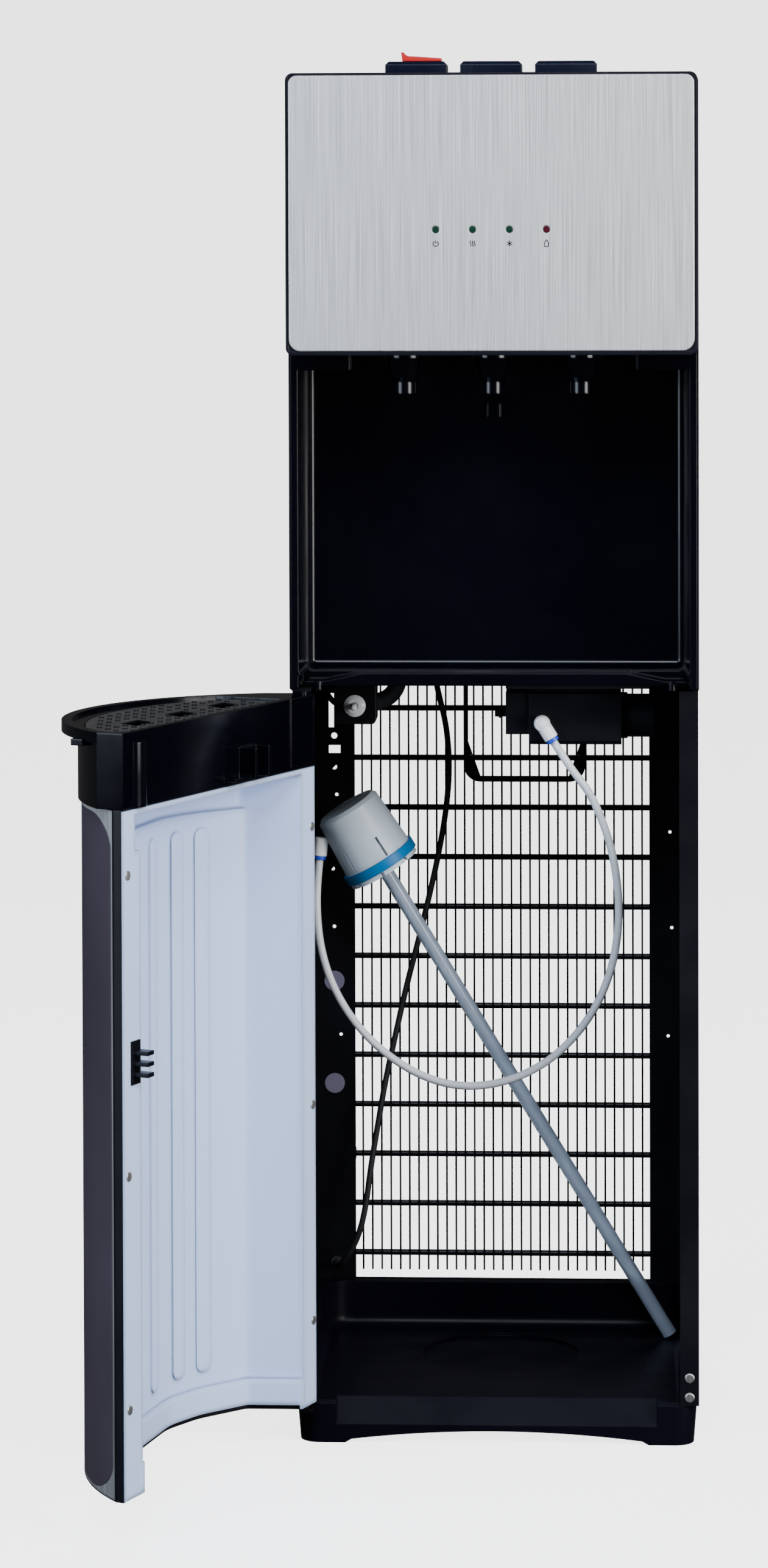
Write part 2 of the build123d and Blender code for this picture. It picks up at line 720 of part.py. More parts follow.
def lamp_board_posts():
    """Screw posts behind the front plate."""
    across = display_half[0] - post_inset[0]
    up = display_half[1] - post_inset[1]
    return [(x, z) for x in (-across, across) for z in (lamp_z - up, lamp_z + up)]


def head_front_plate():
    """Brushed steel plate with four lamp holes."""
    face = Rectangle(2 * plate_half, plate_high_z - plate_low_z)
    top = face.vertices().group_by(Axis.Y)[-1]
    face = fillet(top, plate_top_radius)
    face = fillet(face.vertices().group_by(Axis.Y)[0], plate_bottom_radius)
    plane = Plane(origin=(0, head_front_y + plate_thickness, (plate_low_z + plate_high_z) / 2),
                  x_dir=(1, 0, 0), z_dir=(0, -1, 0))
    plate = extrude(plane * face, amount=plate_thickness)
    for x in lamp_xs:
        plate -= lengthwise(x, lamp_z, head_front_y - 2, head_front_y + 4, lamp_radius + seat_gap)
    return plate


def status_lamp(x):
    """One indicator lens, from the display board to just proud of the plate."""
    lens = lengthwise(x, lamp_z, head_front_y - 0.5, lamp_board_y, lamp_radius)
    return fillet(lens.edges().group_by(Axis.Y)[0], 0.4)


def display_board():
    """Printed board behind the lamps."""
    across, up = display_half
    return block(-across, across, lamp_board_y, lamp_board_y + board_thickness, lamp_z - up, lamp_z + up)


def top_cover():
    """Shallow lid over the back of the cabinet."""
    y0, y1 = cheek_y, rear_y
    z0 = head_top_z - cover_height + seat_gap
    lid = block(-half, half, y0, y1, z0, head_top_z)
    lid = fillet(lid.edges().filter_by(Axis.Y).group_by(Axis.Z)[-1], 5.0)
    lid -= block(cover_wall - half, half - cover_wall, y0 - 5, y1 - cover_wall, z0 - 1,
                 head_top_z - cover_wall)
    return lid


def key(x):
    """Bevelled push key with a retaining skirt under the head's top wall."""
    top = head_top_z + key_rise
    cap = Pos(x, key_y) * Rectangle(key_width, key_depth)
    low = head_top_z - key_skirt
    stem = prism(cap, low, top)
    stem = chamfer(stem.edges().group_by(Axis.Z)[-1], key_bevel)
    w, d = key_width / 2 + key_skirt_lip, key_depth / 2 + key_skirt_lip
    body = stem + block(x - w, x + w, key_y - d, key_y + d, low, head_top_z - head_wall - seat_gap)
    w, d = key_width / 2 - key_wall, key_depth / 2 - key_wall
    body -= block(x - w, x + w, key_y - d, key_y + d, low - 1, top - 3)
    body += upright(x, key_y, low, top - 2.5, 4.0)
    if x == key_xs[0]:
        middle = x + catch_offset
        body -= block(middle - 4.5, middle + 4.5 + catch_travel, key_y + 5.6, key_y + 8.4, top - 4, top + 1)
    return body


def key_board():
    """Switch board on two ribs of the head, with a push switch under each key."""
    z = key_board_z
    across, deep = key_board_half
    board = block(-across, across, key_y - deep, key_y + deep, z - board_thickness, z)
    for x in key_xs:
        board += block(x - 5, x + 5, key_y - 5, key_y + 5, z, head_top_z - key_skirt - key_travel - 1.0)
    return board


def child_lock_catch():
    """Red sliding catch on the hot key: flared upright at its left end, sloping to the right."""
    z = head_top_z + key_rise
    middle = key_xs[0] + catch_offset
    left = middle - catch_width / 2
    right = middle + catch_width / 2
    outline = make_face(Wire([
        Line((left, z + seat_gap), (right, z + seat_gap)),
        Line((right, z + seat_gap), (right, z + 2.6)),
        Line((right, z + 2.6), (left + 7, z + 4.2)),
        ThreePointArc((left + 7, z + 4.2), (left + 3.2, z + 5.0), (left + 1, z + 7.2)),
        Line((left + 1, z + 7.2), (left - 1, z + 7.2)),
        Line((left - 1, z + 7.2), (left, z + seat_gap)),
    ]))
    catch = front_prism(outline, key_y - catch_depth / 2, key_y + catch_depth / 2)
    left, right = middle - catch_tongue, middle + catch_tongue
    catch += block(left, right, key_y + 6.2, key_y + 7.8, z - 5.6, z + 1)
    return catch + block(left, right, key_y + 4.6, key_y + 9.4, z - 5.6, z - 3.6)


def tap(x):
    """One tap: flange on the head's sole, tapering shroud with side wings, round nozzle."""
    z0 = head_bottom_z + head_wall + seat_gap
    flange_r = tap_flange_radius
    neck = tap_flange_radius - tap_flange_lip - seat_gap
    profile = Polyline((0, z0 + 3), (flange_r, z0 + 3), (flange_r, z0), (neck, z0),
                       (neck, head_bottom_z - 3), (tap_nozzle_radius + 2.5, tap_nozzle_high_z + 3),
                       (tap_nozzle_radius + 0.6, tap_nozzle_high_z), (tap_nozzle_radius, tap_nozzle_high_z),
                       (tap_nozzle_radius, tap_nozzle_low_z), (0, tap_nozzle_low_z), close=True)
    body = revolve(Plane.XZ * make_face(profile), Axis.Z)
    body -= upright(0, 0, tap_nozzle_low_z - 1, z0 + 5, tap_bore_radius)
    return Pos(x, tap_y, 0) * body


def tap_valve(x):
    """Solenoid valve above one tap."""
    z = head_bottom_z + head_wall + seat_gap + 3 + seat_gap
    body = block(x - valve_half, x + valve_half, tap_y - valve_half, tap_y + valve_half,
                 z, z + valve_height)
    return body + upright(x, tap_y, z + valve_height, z + valve_height + solenoid_height, solenoid_radius)


# ---------------------------------------------------------------- cooling and heating gear
def compressor():
    """Hermetic compressor: a domed steel pot on a foot plate."""
    z0 = shelf_z + mount_height
    low = z0 + foot_thickness
    pot = Pos(compressor_x, compressor_y) * Ellipse(compressor_half_x, compressor_half_y)
    body = prism(pot, low, low + compressor_height)
    body = fillet(body.edges().group_by(Axis.Z)[-1], compressor_dome)
    reach = compressor_half_x + foot_overhang
    body += block(compressor_x - reach, compressor_x + reach, compressor_y - foot_half_y,
                  compressor_y + foot_half_y, z0, low)
    for x, z in compressor_ports():
        body += lengthwise(x, z, compressor_y + 16, port_end_y, port_radius)
    return body


def compressor_ports():
    """Discharge and suction stubs: x and z."""
    return [(compressor_x + offset, shelf_z + rise) for offset, rise in zip(port_offset, port_rise)]


def compressor_mounts():
    """Four rubber mounts between the foot plate and the shelf."""
    across = compressor_half_x - foot_overhang
    deep = foot_half_y - mount_radius
    return [upright(compressor_x + a * across, compressor_y + b * deep, shelf_z, shelf_z + mount_height,
                    mount_radius)
            for a in (-1, 1) for b in (-1, 1)]


def refrigerant_lines():
    """Copper lines from the compressor to the two free ends of the condenser."""
    y = condenser_tube_y()
    top_z = condenser_first_z + (condenser_runs - 1) * condenser_pitch
    near = port_end_y + 14
    (x0, z0), (x1, z1) = compressor_ports()
    routes = [
        [(x0, port_end_y, z0), (x0, near, z0), (line_xs[0], near, z0), (line_xs[0], y, z0),
         (line_xs[0], y, top_z), (-condenser_half, y, top_z)],
        [(x1, port_end_y, z1), (x1, near + 1, z1), (line_xs[1], near + 1, z1), (line_xs[1], y, z1),
         (line_xs[1], y, condenser_first_z), (-condenser_half, y, condenser_first_z)],
    ]
    lines = []
    for route in routes:
        path = FilletPolyline(*route, radius=line_bend)
        start = Plane(origin=route[0], z_dir=(0, 1, 0))
        lines.append(sweep(start * Circle(condenser_tube_radius), path=path))
    return lines


def cold_tank():
    """Cold water tank in its foam jacket."""
    (x0, x1), y0, y1 = cold_tank_x, cold_tank_front_y, cold_tank_rear_y
    z0, z1, foam = cold_tank_low_z, cold_tank_high_z, foam_thickness
    jacket = block(x0, x1, y0, y1, z0, z1)
    jacket = fillet(jacket.edges().filter_by(Axis.Z), cold_tank_corner)
    jacket -= block(x0 + foam, x1 - foam, y0 + foam, y1 - foam, z0 + foam, z1 - foam)
    return jacket - upright((x0 + x1) / 2, (y0 + y1) / 2, z1 - foam - 2, z1 + 2, tank_port_radius)


def hot_tank():
    """Stainless hot water tank, a thin-walled pot with an outlet in its top."""
    x, y, wall = hot_tank_x, hot_tank_y, hot_tank_wall
    low, high = hot_tank_low_z, hot_tank_low_z + hot_tank_height
    pot = upright(x, y, low, high, hot_tank_radius)
    pot = fillet(pot.edges(), hot_tank_corner)
    hollow = upright(x, y, low + wall, high - wall, hot_tank_radius - wall)
    pot -= fillet(hollow.edges(), hot_tank_corner - wall)
    return pot - upright(x, y, high - 2 * hot_tank_corner, high + 2, tank_port_radius - 2)


def tank_stands():
    """Stands under the two tanks."""
    cold = tank_stand(cold_tank_x[0], cold_tank_x[1] - tank_divide, cold_tank_front_y + 4,
                      compressor_y - stand_clearance, cold_tank_low_z)
    hot = tank_stand(hot_tank_x - hot_tank_radius, hot_tank_x + hot_tank_radius,
                     hot_tank_y - stand_half_y, hot_tank_y + stand_half_y, hot_tank_low_z)
    return [cold, hot]


def tank_stand(x0, x1, y0, y1, z1):
    """Sheet bracket under a tank: a table with two legs on the shelf."""
    table = block(x0, x1, y0, y1, z1 - stand_sheet, z1)
    for x in (x0, x1 - stand_sheet):
        table += block(x, x + stand_sheet, y0, y1, shelf_z, z1)
    return table


# ---------------------------------------------------------------- condenser
def condenser_tube_y():
    """The serpentine lies behind the wires."""
    return wire_y + condenser_wire_radius + condenser_tube_radius


def condenser_coil():
    """Serpentine tube across the back, one path from the lowest run to the highest."""
    y = condenser_tube_y()
    bend = condenser_pitch / 2
    runs = []
    for i in range(condenser_runs):
        z = condenser_first_z + i * condenser_pitch
        runs.append(crosswise(y, z, -condenser_half, condenser_half, condenser_tube_radius))
    for i in range(condenser_runs - 1):
        z = condenser_first_z + (i + 0.5) * condenser_pitch
        side = 1 if i % 2 == 0 else -1
        ring = Pos(side * condenser_half, y, z) * Rot(90, 0, 0) * Torus(bend, condenser_tube_radius)
        keep_half = block(side * condenser_half, side * (condenser_half + bend + 5), y - 5, y + 5,
                          z - bend - 5, z + bend + 5)
        runs.append(ring & keep_half)
    coil = runs[0]
    for piece in runs[1:]:
        coil += piece
    return coil


def condenser_wires():
    """Vertical steel wires spot-welded across the serpentine tube."""
    low = condenser_first_z - wire_overhang
    high = condenser_first_z + (condenser_runs - 1) * condenser_pitch + wire_overhang
    wires = []
    for i in range(wire_count):
        x = (i - (wire_count - 1) / 2) * wire_pitch
        section = Pos(x, wire_y) * RegularPolygon(condenser_wire_radius, 6)
        wires.append(prism(section, low, high))
    return wires


def condenser_clips():
    """Four clips that hold the serpentine tube to the rear panel."""
    y_tube = condenser_tube_y()
    clips = []
    for i in (2, condenser_runs - 2):
        z = condenser_first_z + i * condenser_pitch
        for side in (-1, 1):
            x = side * (condenser_half - 2.4)
            clip = block(x - 2, x + 2, rear_y, y_tube + condenser_tube_radius + 1.5, z - 4.5, z + 4.5)
            clip -= crosswise(y_tube, z, x - 5, x + 5, condenser_tube_radius + 0.05)
            clips.append(clip)
    return clips


# ---------------------------------------------------------------- fittings in the bottle bay


def pump_bracket():
    """Grey steel plate under the shelf that the pump is screwed to."""
    (x0, x1), (y0, y1) = bracket_x, bracket_y
    top = under_shelf_z - bracket_drop
    plate = block(x0, x1, y0, y1, top - bracket_thickness, top)
    for y in (y0 + 4, y1 - 4):
        plate += block(x0, x1, y - 4, y + 4, top - 0.4, under_shelf_z)
    return plate


def pump_body():
    """Black pump head with a barbed inlet at its left end."""
    top = under_shelf_z - bracket_thickness - bracket_drop
    body = block(pump_x[0] + 19, pump_x[1], pump_front_y, pump_back_y, pump_z[0], pump_z[1])
    body += block(pump_x[0], pump_x[0] + 20, pump_front_y + 3, pump_back_y - 3, pump_z[0] + 8, pump_z[1])
    body = chamfer(body.edges().filter_by(Axis.X).group_by(Axis.Z)[0], 3)
    body += block(pump_x[0] + 24, pump_x[1] - 6, pump_front_y + 10, pump_back_y - 8, pump_z[1] - 1, top)
    z = pump_z[1] - 17
    y = (pump_front_y + pump_back_y) / 2
    body += crosswise(y, z, pump_x[0] - 9, pump_x[0] + 1, pump_inlet_radius)
    body += crosswise(y, z, pump_x[0] - 6, pump_x[0] - 4, pump_inlet_radius + 1)
    body -= crosswise(y, z, pump_x[0] - 12, pump_x[0] - 1, pump_inlet_radius - 1.6)
    return body


def pump_motor():
    """Motor can at the right end of the pump, with its light end ring as a step."""
    y = (pump_front_y + pump_back_y) / 2
    z = (pump_z[0] + pump_z[1]) / 2 + 1
    can = crosswise(y, z, pump_x[1] + motor_ring, motor_end_x, motor_radius)
    can = fillet(can.edges().group_by(Axis.X)[-1], 3)
    can += crosswise(y, z, motor_end_x, motor_end_x + 3, 5)
    return can + crosswise(y, z, pump_x[1], pump_x[1] + motor_ring, motor_radius + 1.2)


def elbow_direction():
    """Unit vector along which the hose leaves the pump's elbow."""
    tilt = radians(elbow_turn)
    return Vector(sin(tilt), 0, -cos(tilt))


def elbow_fitting():
    """White push-fit elbow on the pump's face, with its collet barrel turned down and right."""
    axis_y = pump_front_y - elbow_stand_off
    body = lengthwise(elbow_x, elbow_z, axis_y - 5, pump_front_y, 5.5)
    body += Pos(elbow_x, axis_y, elbow_z) * Sphere(6.6)
    way = elbow_direction()
    start = Vector(elbow_x, axis_y, elbow_z)
    barrel = Plane(origin=start, z_dir=way)
    barrel = barrel * Pos(0, 0, elbow_reach / 2) * Cylinder(elbow_radius, elbow_reach)
    return body + barrel


def collet_ring(start, way, outer, length):
    """Blue collet ring round the hose at a push-fit socket."""
    plane = Plane(origin=start, z_dir=way)
    ring = plane * Pos(0, 0, length / 2) * Cylinder(outer, length)
    return ring - plane * Pos(0, 0, length / 2) * Cylinder(hose_radius + 0.05, length + 2)


def collet_rings():
    """Blue rings at both ends of the hose."""
    end = Vector(*hose_cap_end)
    back = (Vector(*hose_route[-1]) - end).normalized()
    return [collet_ring(start, way, collet_radius, collet_length)
            for start, way in ((hose_start(), elbow_direction()), (end, back))]


def hose_start():
    """Face of the elbow's barrel."""
    return Vector(elbow_x, pump_front_y - elbow_stand_off, elbow_z) + elbow_direction() * elbow_reach


def switch_box():
    """Black switch housing hung from the shelf."""
    box = block(*switch_box_x, switch_face_y, switch_face_y + switch_box_depth,
                switch_box_low_z, under_shelf_z)
    box = fillet(box.edges().filter_by(Axis.Y).group_by(Axis.Z)[0], 4)
    return box - lengthwise(switch_x, switch_z, switch_face_y - 5, switch_face_y + 12 + plunger_travel,
                            plunger_radius + seat_gap)


def switch_bezel():
    """White dished ring on the switch box."""
    profile = Polyline((plunger_radius + 0.4, 0), (bezel_radius, 0), (bezel_radius, 1.2),
                       (plunger_radius + 3, 3.4), (plunger_radius + 0.4, 3.4), close=True)
    ring = revolve(Plane.XZ * make_face(profile), Axis.Z)
    return Pos(switch_x, switch_face_y, switch_z) * Rot(90, 0, 0) * ring


def switch_plunger():
    """Round-nosed plunger through the bezel."""
    pin = lengthwise(switch_x, switch_z, switch_face_y - 17, switch_face_y + 8, plunger_radius)
    return fillet(pin.edges().group_by(Axis.Y)[0], 2.2)


def loop_pipe():
    """Grey insulated pipe that loops down under the shelf beside the switch box."""
    (x0, x1), y, low = loop_pipe_x, loop_pipe_y, loop_pipe_low_z
    path = FilletPolyline((x1, y, under_shelf_z), (x1, y, low), (x0, y, low), (x0, y, under_shelf_z),
                          radius=20)
    start = Plane(origin=(x1, y, under_shelf_z), z_dir=(0, 0, -1))
    return sweep(start * Circle(loop_pipe_radius), path=path)


def arc_hose():
    """Thin grey drain hose that hangs in a shallow arc under the shelf."""
    points = [Vector(x, arc_hose_y, under_shelf_z - drop) for x, drop in arc_hose_route]
    path = FilletPolyline(*points, radius=30)
    start = Plane(origin=points[0], z_dir=points[1] - points[0])
    tube = sweep(start * Circle(arc_hose_radius), path=path)
    return tube & block(-inner_half, inner_half, arc_hose_y - 20, arc_hose_y + 20, under_shelf_z - 100,
                        under_shelf_z)


def rear_handle():
    """Black U-shaped grab frame that hangs from the rear panel behind the condenser."""
    (x0, x1), low, top, bar = handle_x, handle_low_z, rear_opening_top + handle_rise, handle_bar
    y0 = wire_y + 8.0
    outer = Pos((x0 + x1) / 2, (low + top) / 2) * Rectangle(x1 - x0, top - low)
    outer = fillet(outer.vertices().group_by(Axis.Y)[0], 14)
    inner = polygon((x0 + bar, low + 34), (x0 + 14, low + bar + 1), (x1 - 14, low + bar + 1),
                    (x1 - bar, low + 34),
                    (x1 - bar, top - 8), (x0 + bar, top - 8))
    frame = front_prism(outer - inner, y0, y0 + handle_thickness)
    for x in (x0 + 12, x1 - 12):
        frame += block(x - 5, x + 5, rear_y, y0 + 1, top - 7, top - 1)
    return frame


def limp_tube(points, radius):
    """A tube along straight runs joined by arcs as large as the runs allow."""
    radii = []
    for before, here, after in zip(points, points[1:], points[2:]):
        first = Vector(*here) - Vector(*before)
        second = Vector(*after) - Vector(*here)
        half_turn = radians(first.get_angle(second)) / 2
        radii.append(0.45 * min(first.length, second.length) / tan(half_turn))
    path = FilletPolyline(*points, radius=radii)
    start = Plane(origin=points[0], z_dir=Vector(*points[1]) - Vector(*points[0]))
    tube = sweep(start * Circle(radius), path=path)
    length = path.length if isinstance(path, Wire) else sum(e.length for e in path.edges())
    print("tube length %.0f, volume / (section x length) %.4f, radii %.0f to %.0f"
          % (length, tube.volume / (pi * radius ** 2 * length), min(radii), max(radii)))
    return tube


def supply_hose():
    """White water hose between the pump and the probe."""
    start = hose_start()
    points = [tuple(start), tuple(start + elbow_direction() * 27)] + hose_route + [tuple(hose_cap_end)]
    return limp_tube(points, hose_radius)


def power_lead():
    """Black lead hanging in the bay."""
    return limp_tube(lead_route, lead_radius)


def lead_bushes():
    """Rubber bushes where the lead comes through the shelf and leaves by the left rear flange."""
    x, y, _ = lead_route[0]
    upper = upright(x, y, lead_route[0][2], shelf_z + bush_flange, bush_neck_radius)
    upper += upright(x, y, shelf_z, shelf_z + bush_flange, bush_neck_radius + bush_flange)
    lower = lengthwise(-lead_exit_x, lead_exit_z, lead_route[-1][1], rear_y + 2, bush_neck_radius)
    lower += lengthwise(-lead_exit_x, lead_exit_z, rear_y, rear_y + bush_flange,
                        bush_neck_radius + bush_flange)
    return [upper, lower]


# ---------------------------------------------------------------- bottle probe
def probe_plane(distance=0.0):
    """Plane across the probe's axis; distance runs down the axis from the cap's closed end."""
    lean = radians(probe_lean)
    drop = sqrt(1 - probe_slope ** 2)
    way = Vector(probe_slope, drop * sin(lean), -drop * cos(lean))
    tilt = atan2(probe_slope, drop * cos(lean))
    origin = Vector(probe_top_x, probe_top_y, probe_top_z) + way * distance
    return Plane(origin=origin, x_dir=Vector(cos(tilt), 0, sin(tilt)), z_dir=way)


def probe_cap():
    """Translucent cup with its closed end up, a side boss for the hose and a toothed lower rim."""
    profile = make_face(Polyline((0, 0), (probe_cap_radius - 3, 0), (probe_cap_radius, 3),
                                 (probe_ring_radius - ring_wall, probe_cap_length), (0, probe_cap_length),
                                 close=True))
    hollow = make_face(Polyline((0, cap_wall), (probe_cap_radius - cap_wall, cap_wall),
                                (probe_ring_radius - ring_wall - cap_wall, probe_cap_length + 1),
                                (0, probe_cap_length + 1), close=True))
    cup = revolve(Plane.XZ * profile, Axis.Z) - revolve(Plane.XZ * hollow, Axis.Z)
    boss = cap_boss_length - cap_wall
    cup += Pos(0, 0, cap_wall + boss / 2) * Cylinder(dip_tube_radius + 2.2, boss)
    cup -= Pos(0, 0, 25) * Cylinder(dip_tube_radius + 0.02, 40)
    for turn in cap_slot_turns:
        cup -= Rot(0, 0, turn) * block(probe_cap_radius - 6, probe_ring_radius + 3, -1, 1, *cap_slot_reach)
    for i in range(cap_lobes):
        cup -= Rot(0, 0, 360 / cap_lobes * i) * block(probe_cap_radius - 2, probe_ring_radius + 3, -1.4, 1.4,
                                                      probe_cap_length - 3.5, probe_cap_length + 2)
    return probe_plane() * cup - probe_socket(0.05)


def probe_ring():
    """Blue ring round the cup's mouth."""
    low = probe_cap_length - 4.0 - ring_height
    ring = Pos(0, 0, low + ring_height / 2) * Cylinder(probe_ring_radius, ring_height)
    cone = make_face(Polyline((0, low - 1), (ring_seat(low - 1), low - 1),
                              (ring_seat(low + ring_height + 1), low + ring_height + 1),
                              (0, low + ring_height + 1), close=True))
    ring -= revolve(Plane.XZ * cone, Axis.Z)
    return probe_plane() * ring


def ring_seat(distance):
    """Bore of the ring where it lies on the cup's taper."""
    rise = (probe_ring_radius - ring_wall - probe_cap_radius) / (probe_cap_length - 3)
    return probe_cap_radius + rise * (distance - 3) + 0.02


def probe_socket(grow=0.0):
    """White push-fit socket on the cup's side where the hose goes in."""
    end = Vector(*hose_cap_end)
    way = (end - Vector(*hose_route[-1])).normalized()
    plane = Plane(origin=end, z_dir=way)
    return plane * Pos(0, 0, socket_length / 2) * Cylinder(socket_radius + grow, socket_length + 2 * grow)


def dip_tube():
    """Stiff clear tube that reaches to the bottom of the bottle."""
    length = dip_tube_end - dip_tube_start
    middle = Pos(0, 0, dip_tube_start + length / 2)
    tube = middle * Cylinder(dip_tube_radius, length) - middle * Cylinder(dip_tube_bore, length + 2)
    return probe_plane() * tube


# ---------------------------------------------------------------- door, drawn shut
def dp(u, v):
    """A point of the door's plan: u from its hinge edge, v outwards from its inner face."""
    return u - door_half, door_back_y - v


def door_polygon(*points):
    """A plan outline given in door coordinates."""
    return polygon(*[dp(u, v) for u, v in points])


def door_block(u0, u1, v0, v1, z0, z1):
    """A box given in door coordinates."""
    return block(u0 - door_half, u1 - door_half, door_back_y - v1, door_back_y - v0, z0, z1)


def hinge_corner(z0, z1):
    """What is taken off the hinge corner so that it swings clear of the pillar."""
    outer = door_polygon((-3, 3.5), (0, 11), (13.5, 44.8), (-3, 44.8))
    inner = door_polygon((-3, -3), (corner_radius, -3), (corner_radius, 0), (0, corner_radius),
                         (-3, corner_radius))
    inner -= Pos(*dp(corner_radius, corner_radius)) * Circle(corner_radius)
    return prism(outer, z0 - 1, z1 + 1), prism(inner, z0 - 1, z1 + 1)


def door_shell():
    """Black moulded door body, open towards the bottle, with the hinge bore at its lower end."""
    cladding = skin_thickness + panel_thickness
    outline = bow_outline(door_half, door_edge_depth, door_bow)
    shell = prism(outline, door_low_z, door_high_z)
    shell -= bow_band(cladding, 0, door_low_z + skin_lip, door_high_z - skin_lip)
    shell -= door_block(-5, door_width + 5, -5, liner_wall, door_low_z - 1, door_high_z + 1)
    pocket = bow_outline(door_half, door_edge_depth, door_bow, door_shell_wall + cladding)
    low, high = door_low_z + door_end_wall, door_high_z - door_end_wall
    hollow = prism(pocket, low, high)
    hollow &= door_block(door_column, door_width - door_column, -5, 200, 0, 1000)
    hollow += door_block(door_column, door_width - door_column, -5, 12, low, high)
    shell -= hollow
    inner = hinge_corner(door_low_z, door_high_z)[1]
    shell -= inner
    shell -= upright(hinge_x, hinge_y, door_low_z - 1, door_low_z + hinge_pin_length + 2,
                     hinge_pin_radius + hinge_bore_clearance)
    shell -= prism(liner_region(liner_low, 0), door_low_z - 1, low + 1)
    for u, z in liner_screw_spots:
        x, y = dp(u, 0)
        shell -= lengthwise(x, z, y - 9, y, 1.3)
    return shell


def bow_band(thickness, depth_behind, z0, z1):
    """A curved sheet on the door's bow; depth_behind is how far its outer face lies inside the front."""
    radius, centre_y = bow_reach(door_half, door_edge_depth, door_bow)
    radius -= depth_behind
    band = Pos(0, centre_y) * (Circle(radius) - Circle(radius - thickness))
    band &= Pos(0, centre_y - radius / 2 - 40) * Rectangle(2 * band_half, radius + 80)
    ahead = door_back_y - door_edge_depth - cabinet_width
    band &= Pos(0, ahead) * Rectangle(2 * cabinet_width, 2 * cabinet_width)
    return prism(band, z0, z1)


def door_steel_skin():
    """Brushed steel sheet wrapped over the bow."""
    return bow_band(skin_thickness, panel_thickness, door_low_z + skin_lip, door_high_z - skin_lip)


def door_front_panel():
    """Dark coated panel on the steel sheet, with round corners that leave the steel bare."""
    low, high = door_low_z + panel_margins[0], door_high_z - panel_margins[1]
    band = bow_band(panel_thickness, 0, low, high)
    front = Pos(0, (low + high) / 2) * Rectangle(2 * (band_half - 2), high - low)
    front = fillet(front.vertices(), panel_corner)
    return band & front_prism(front, -300, door_back_y)


def liner_region(points, grow):
    """Plan region between the back plane and a liner line, grown by the sheet's thickness."""
    first, last = points[0], points[-1]
    bends = [dp(*point) for point in [(first[0], -6), *points, (last[0], -6)]]
    line = FilletPolyline(*bends, radius=list(liner_bends))
    face = make_face(line.edges() + [Line(bends[-1], bends[0])])
    if grow:
        face = offset(face, amount=grow, kind=Kind.INTERSECTION)
    return face


def door_liner():
    """White vacuum-formed liner with a deeper upper band and three upright flutes."""
    foot, ledge, high = liner_foot_z, liner_ledge_z, door_high_z - door_end_wall - seat_gap
    band = foot + liner_foot_band
    body = prism(liner_region(liner_low, liner_wall), foot, ledge)
    body += prism(liner_region(liner_high, liner_wall), ledge - liner_wall, high)
    body += door_block(0.5, door_width - 0.5, 0, liner_wall, door_low_z + 1, door_high_z - 1)
    body -= prism(liner_region(liner_low, 0), band, ledge + 1)
    body -= prism(liner_region(liner_low, -liner_band_rise), door_low_z, band + 1)
    body -= prism(liner_region(liner_high, 0), ledge, high - liner_wall)
    body -= door_block(-50, door_width + 50, -30, 0, 0, 1000)
    for u in flute_us:
        body += flute(u)
    for part in hinge_corner(door_low_z, door_high_z):
        body -= part
    for u, z in liner_screw_spots + [(door_width - liner_low_screw[0], liner_low_screw[1])]:
        x, y = dp(u, 0)
        body -= lengthwise(x, z, y - 12, y + 2, 1.7)
    return body


def flute(u):
    """One upright rounded flute standing on the liner's face."""
    (u0, v0), (u1, v1) = [pair for pair in zip(liner_low, liner_low[1:]) if pair[0][0] <= u][-1]
    v = v0 + (u - u0) * (v1 - v0) / (u1 - u0)
    angle = degrees(atan2(-(v1 - v0), u1 - u0))
    x, y = dp(u, v)
    bar = Box(2 * flute_half, 2 * flute_depth, flute_length)
    bar = fillet(bar.edges().filter_by(Axis.Y), flute_half - 0.5)
    return Pos(x, y, liner_ledge_z - flute_top_gap - flute_length / 2) * Rot(0, 0, angle) * bar


def liner_screws():
    """Self-tapping screws through the liner into the door body."""
    screws = []
    for u, z in liner_screw_spots:
        x, y = dp(u, 0)
        head = lengthwise(x, z, y, y + 1.0, 3.4)
        screws.append(head + lengthwise(x, z, y - 7, y, 1.2))
    return screws


def door_latch():
    """Black latch plate with three prongs, on the liner near the free edge."""
    u0, u1 = (door_width - inset for inset in latch_inset)
    plate = door_block(u0, u1, -latch_plate, 0, *latch_z)
    for z in prong_zs:
        plate += door_block(u0 + 1, u1 - 2.7, -latch_reach, -0.5, z, z + prong_thickness)
    return plate


def latch_strike():
    """Keeper on the inside of the right-hand side panel."""
    right = inner_half - seat_gap
    left = right - strike_depth
    keeper = block(left, right, pillar_y + 5, pillar_y + 22, latch_z[0] - 4, latch_z[1] + 2)
    return keeper - block(left - 5, right - strike_wall, pillar_y, pillar_y + 16,
                          latch_z[0] + 2, latch_z[1] - 4)


# ---------------------------------------------------------------- drip housing on the door


def pocket_plan(gap):
    """Plan of the drip tray's pocket, less a gap all round."""
    plan = bow_outline(door_half, housing_edge, housing_bow, 5.0 + gap)
    x0, y0 = dp(pocket_u[0] + gap, -10)
    x1, y1 = dp(pocket_u[1] - gap, 200)
    plan &= Pos((x0 + x1) / 2, (y0 + y1) / 2) * Rectangle(x1 - x0, y0 - y1)
    return fillet(plan.vertices(), pocket_corner)


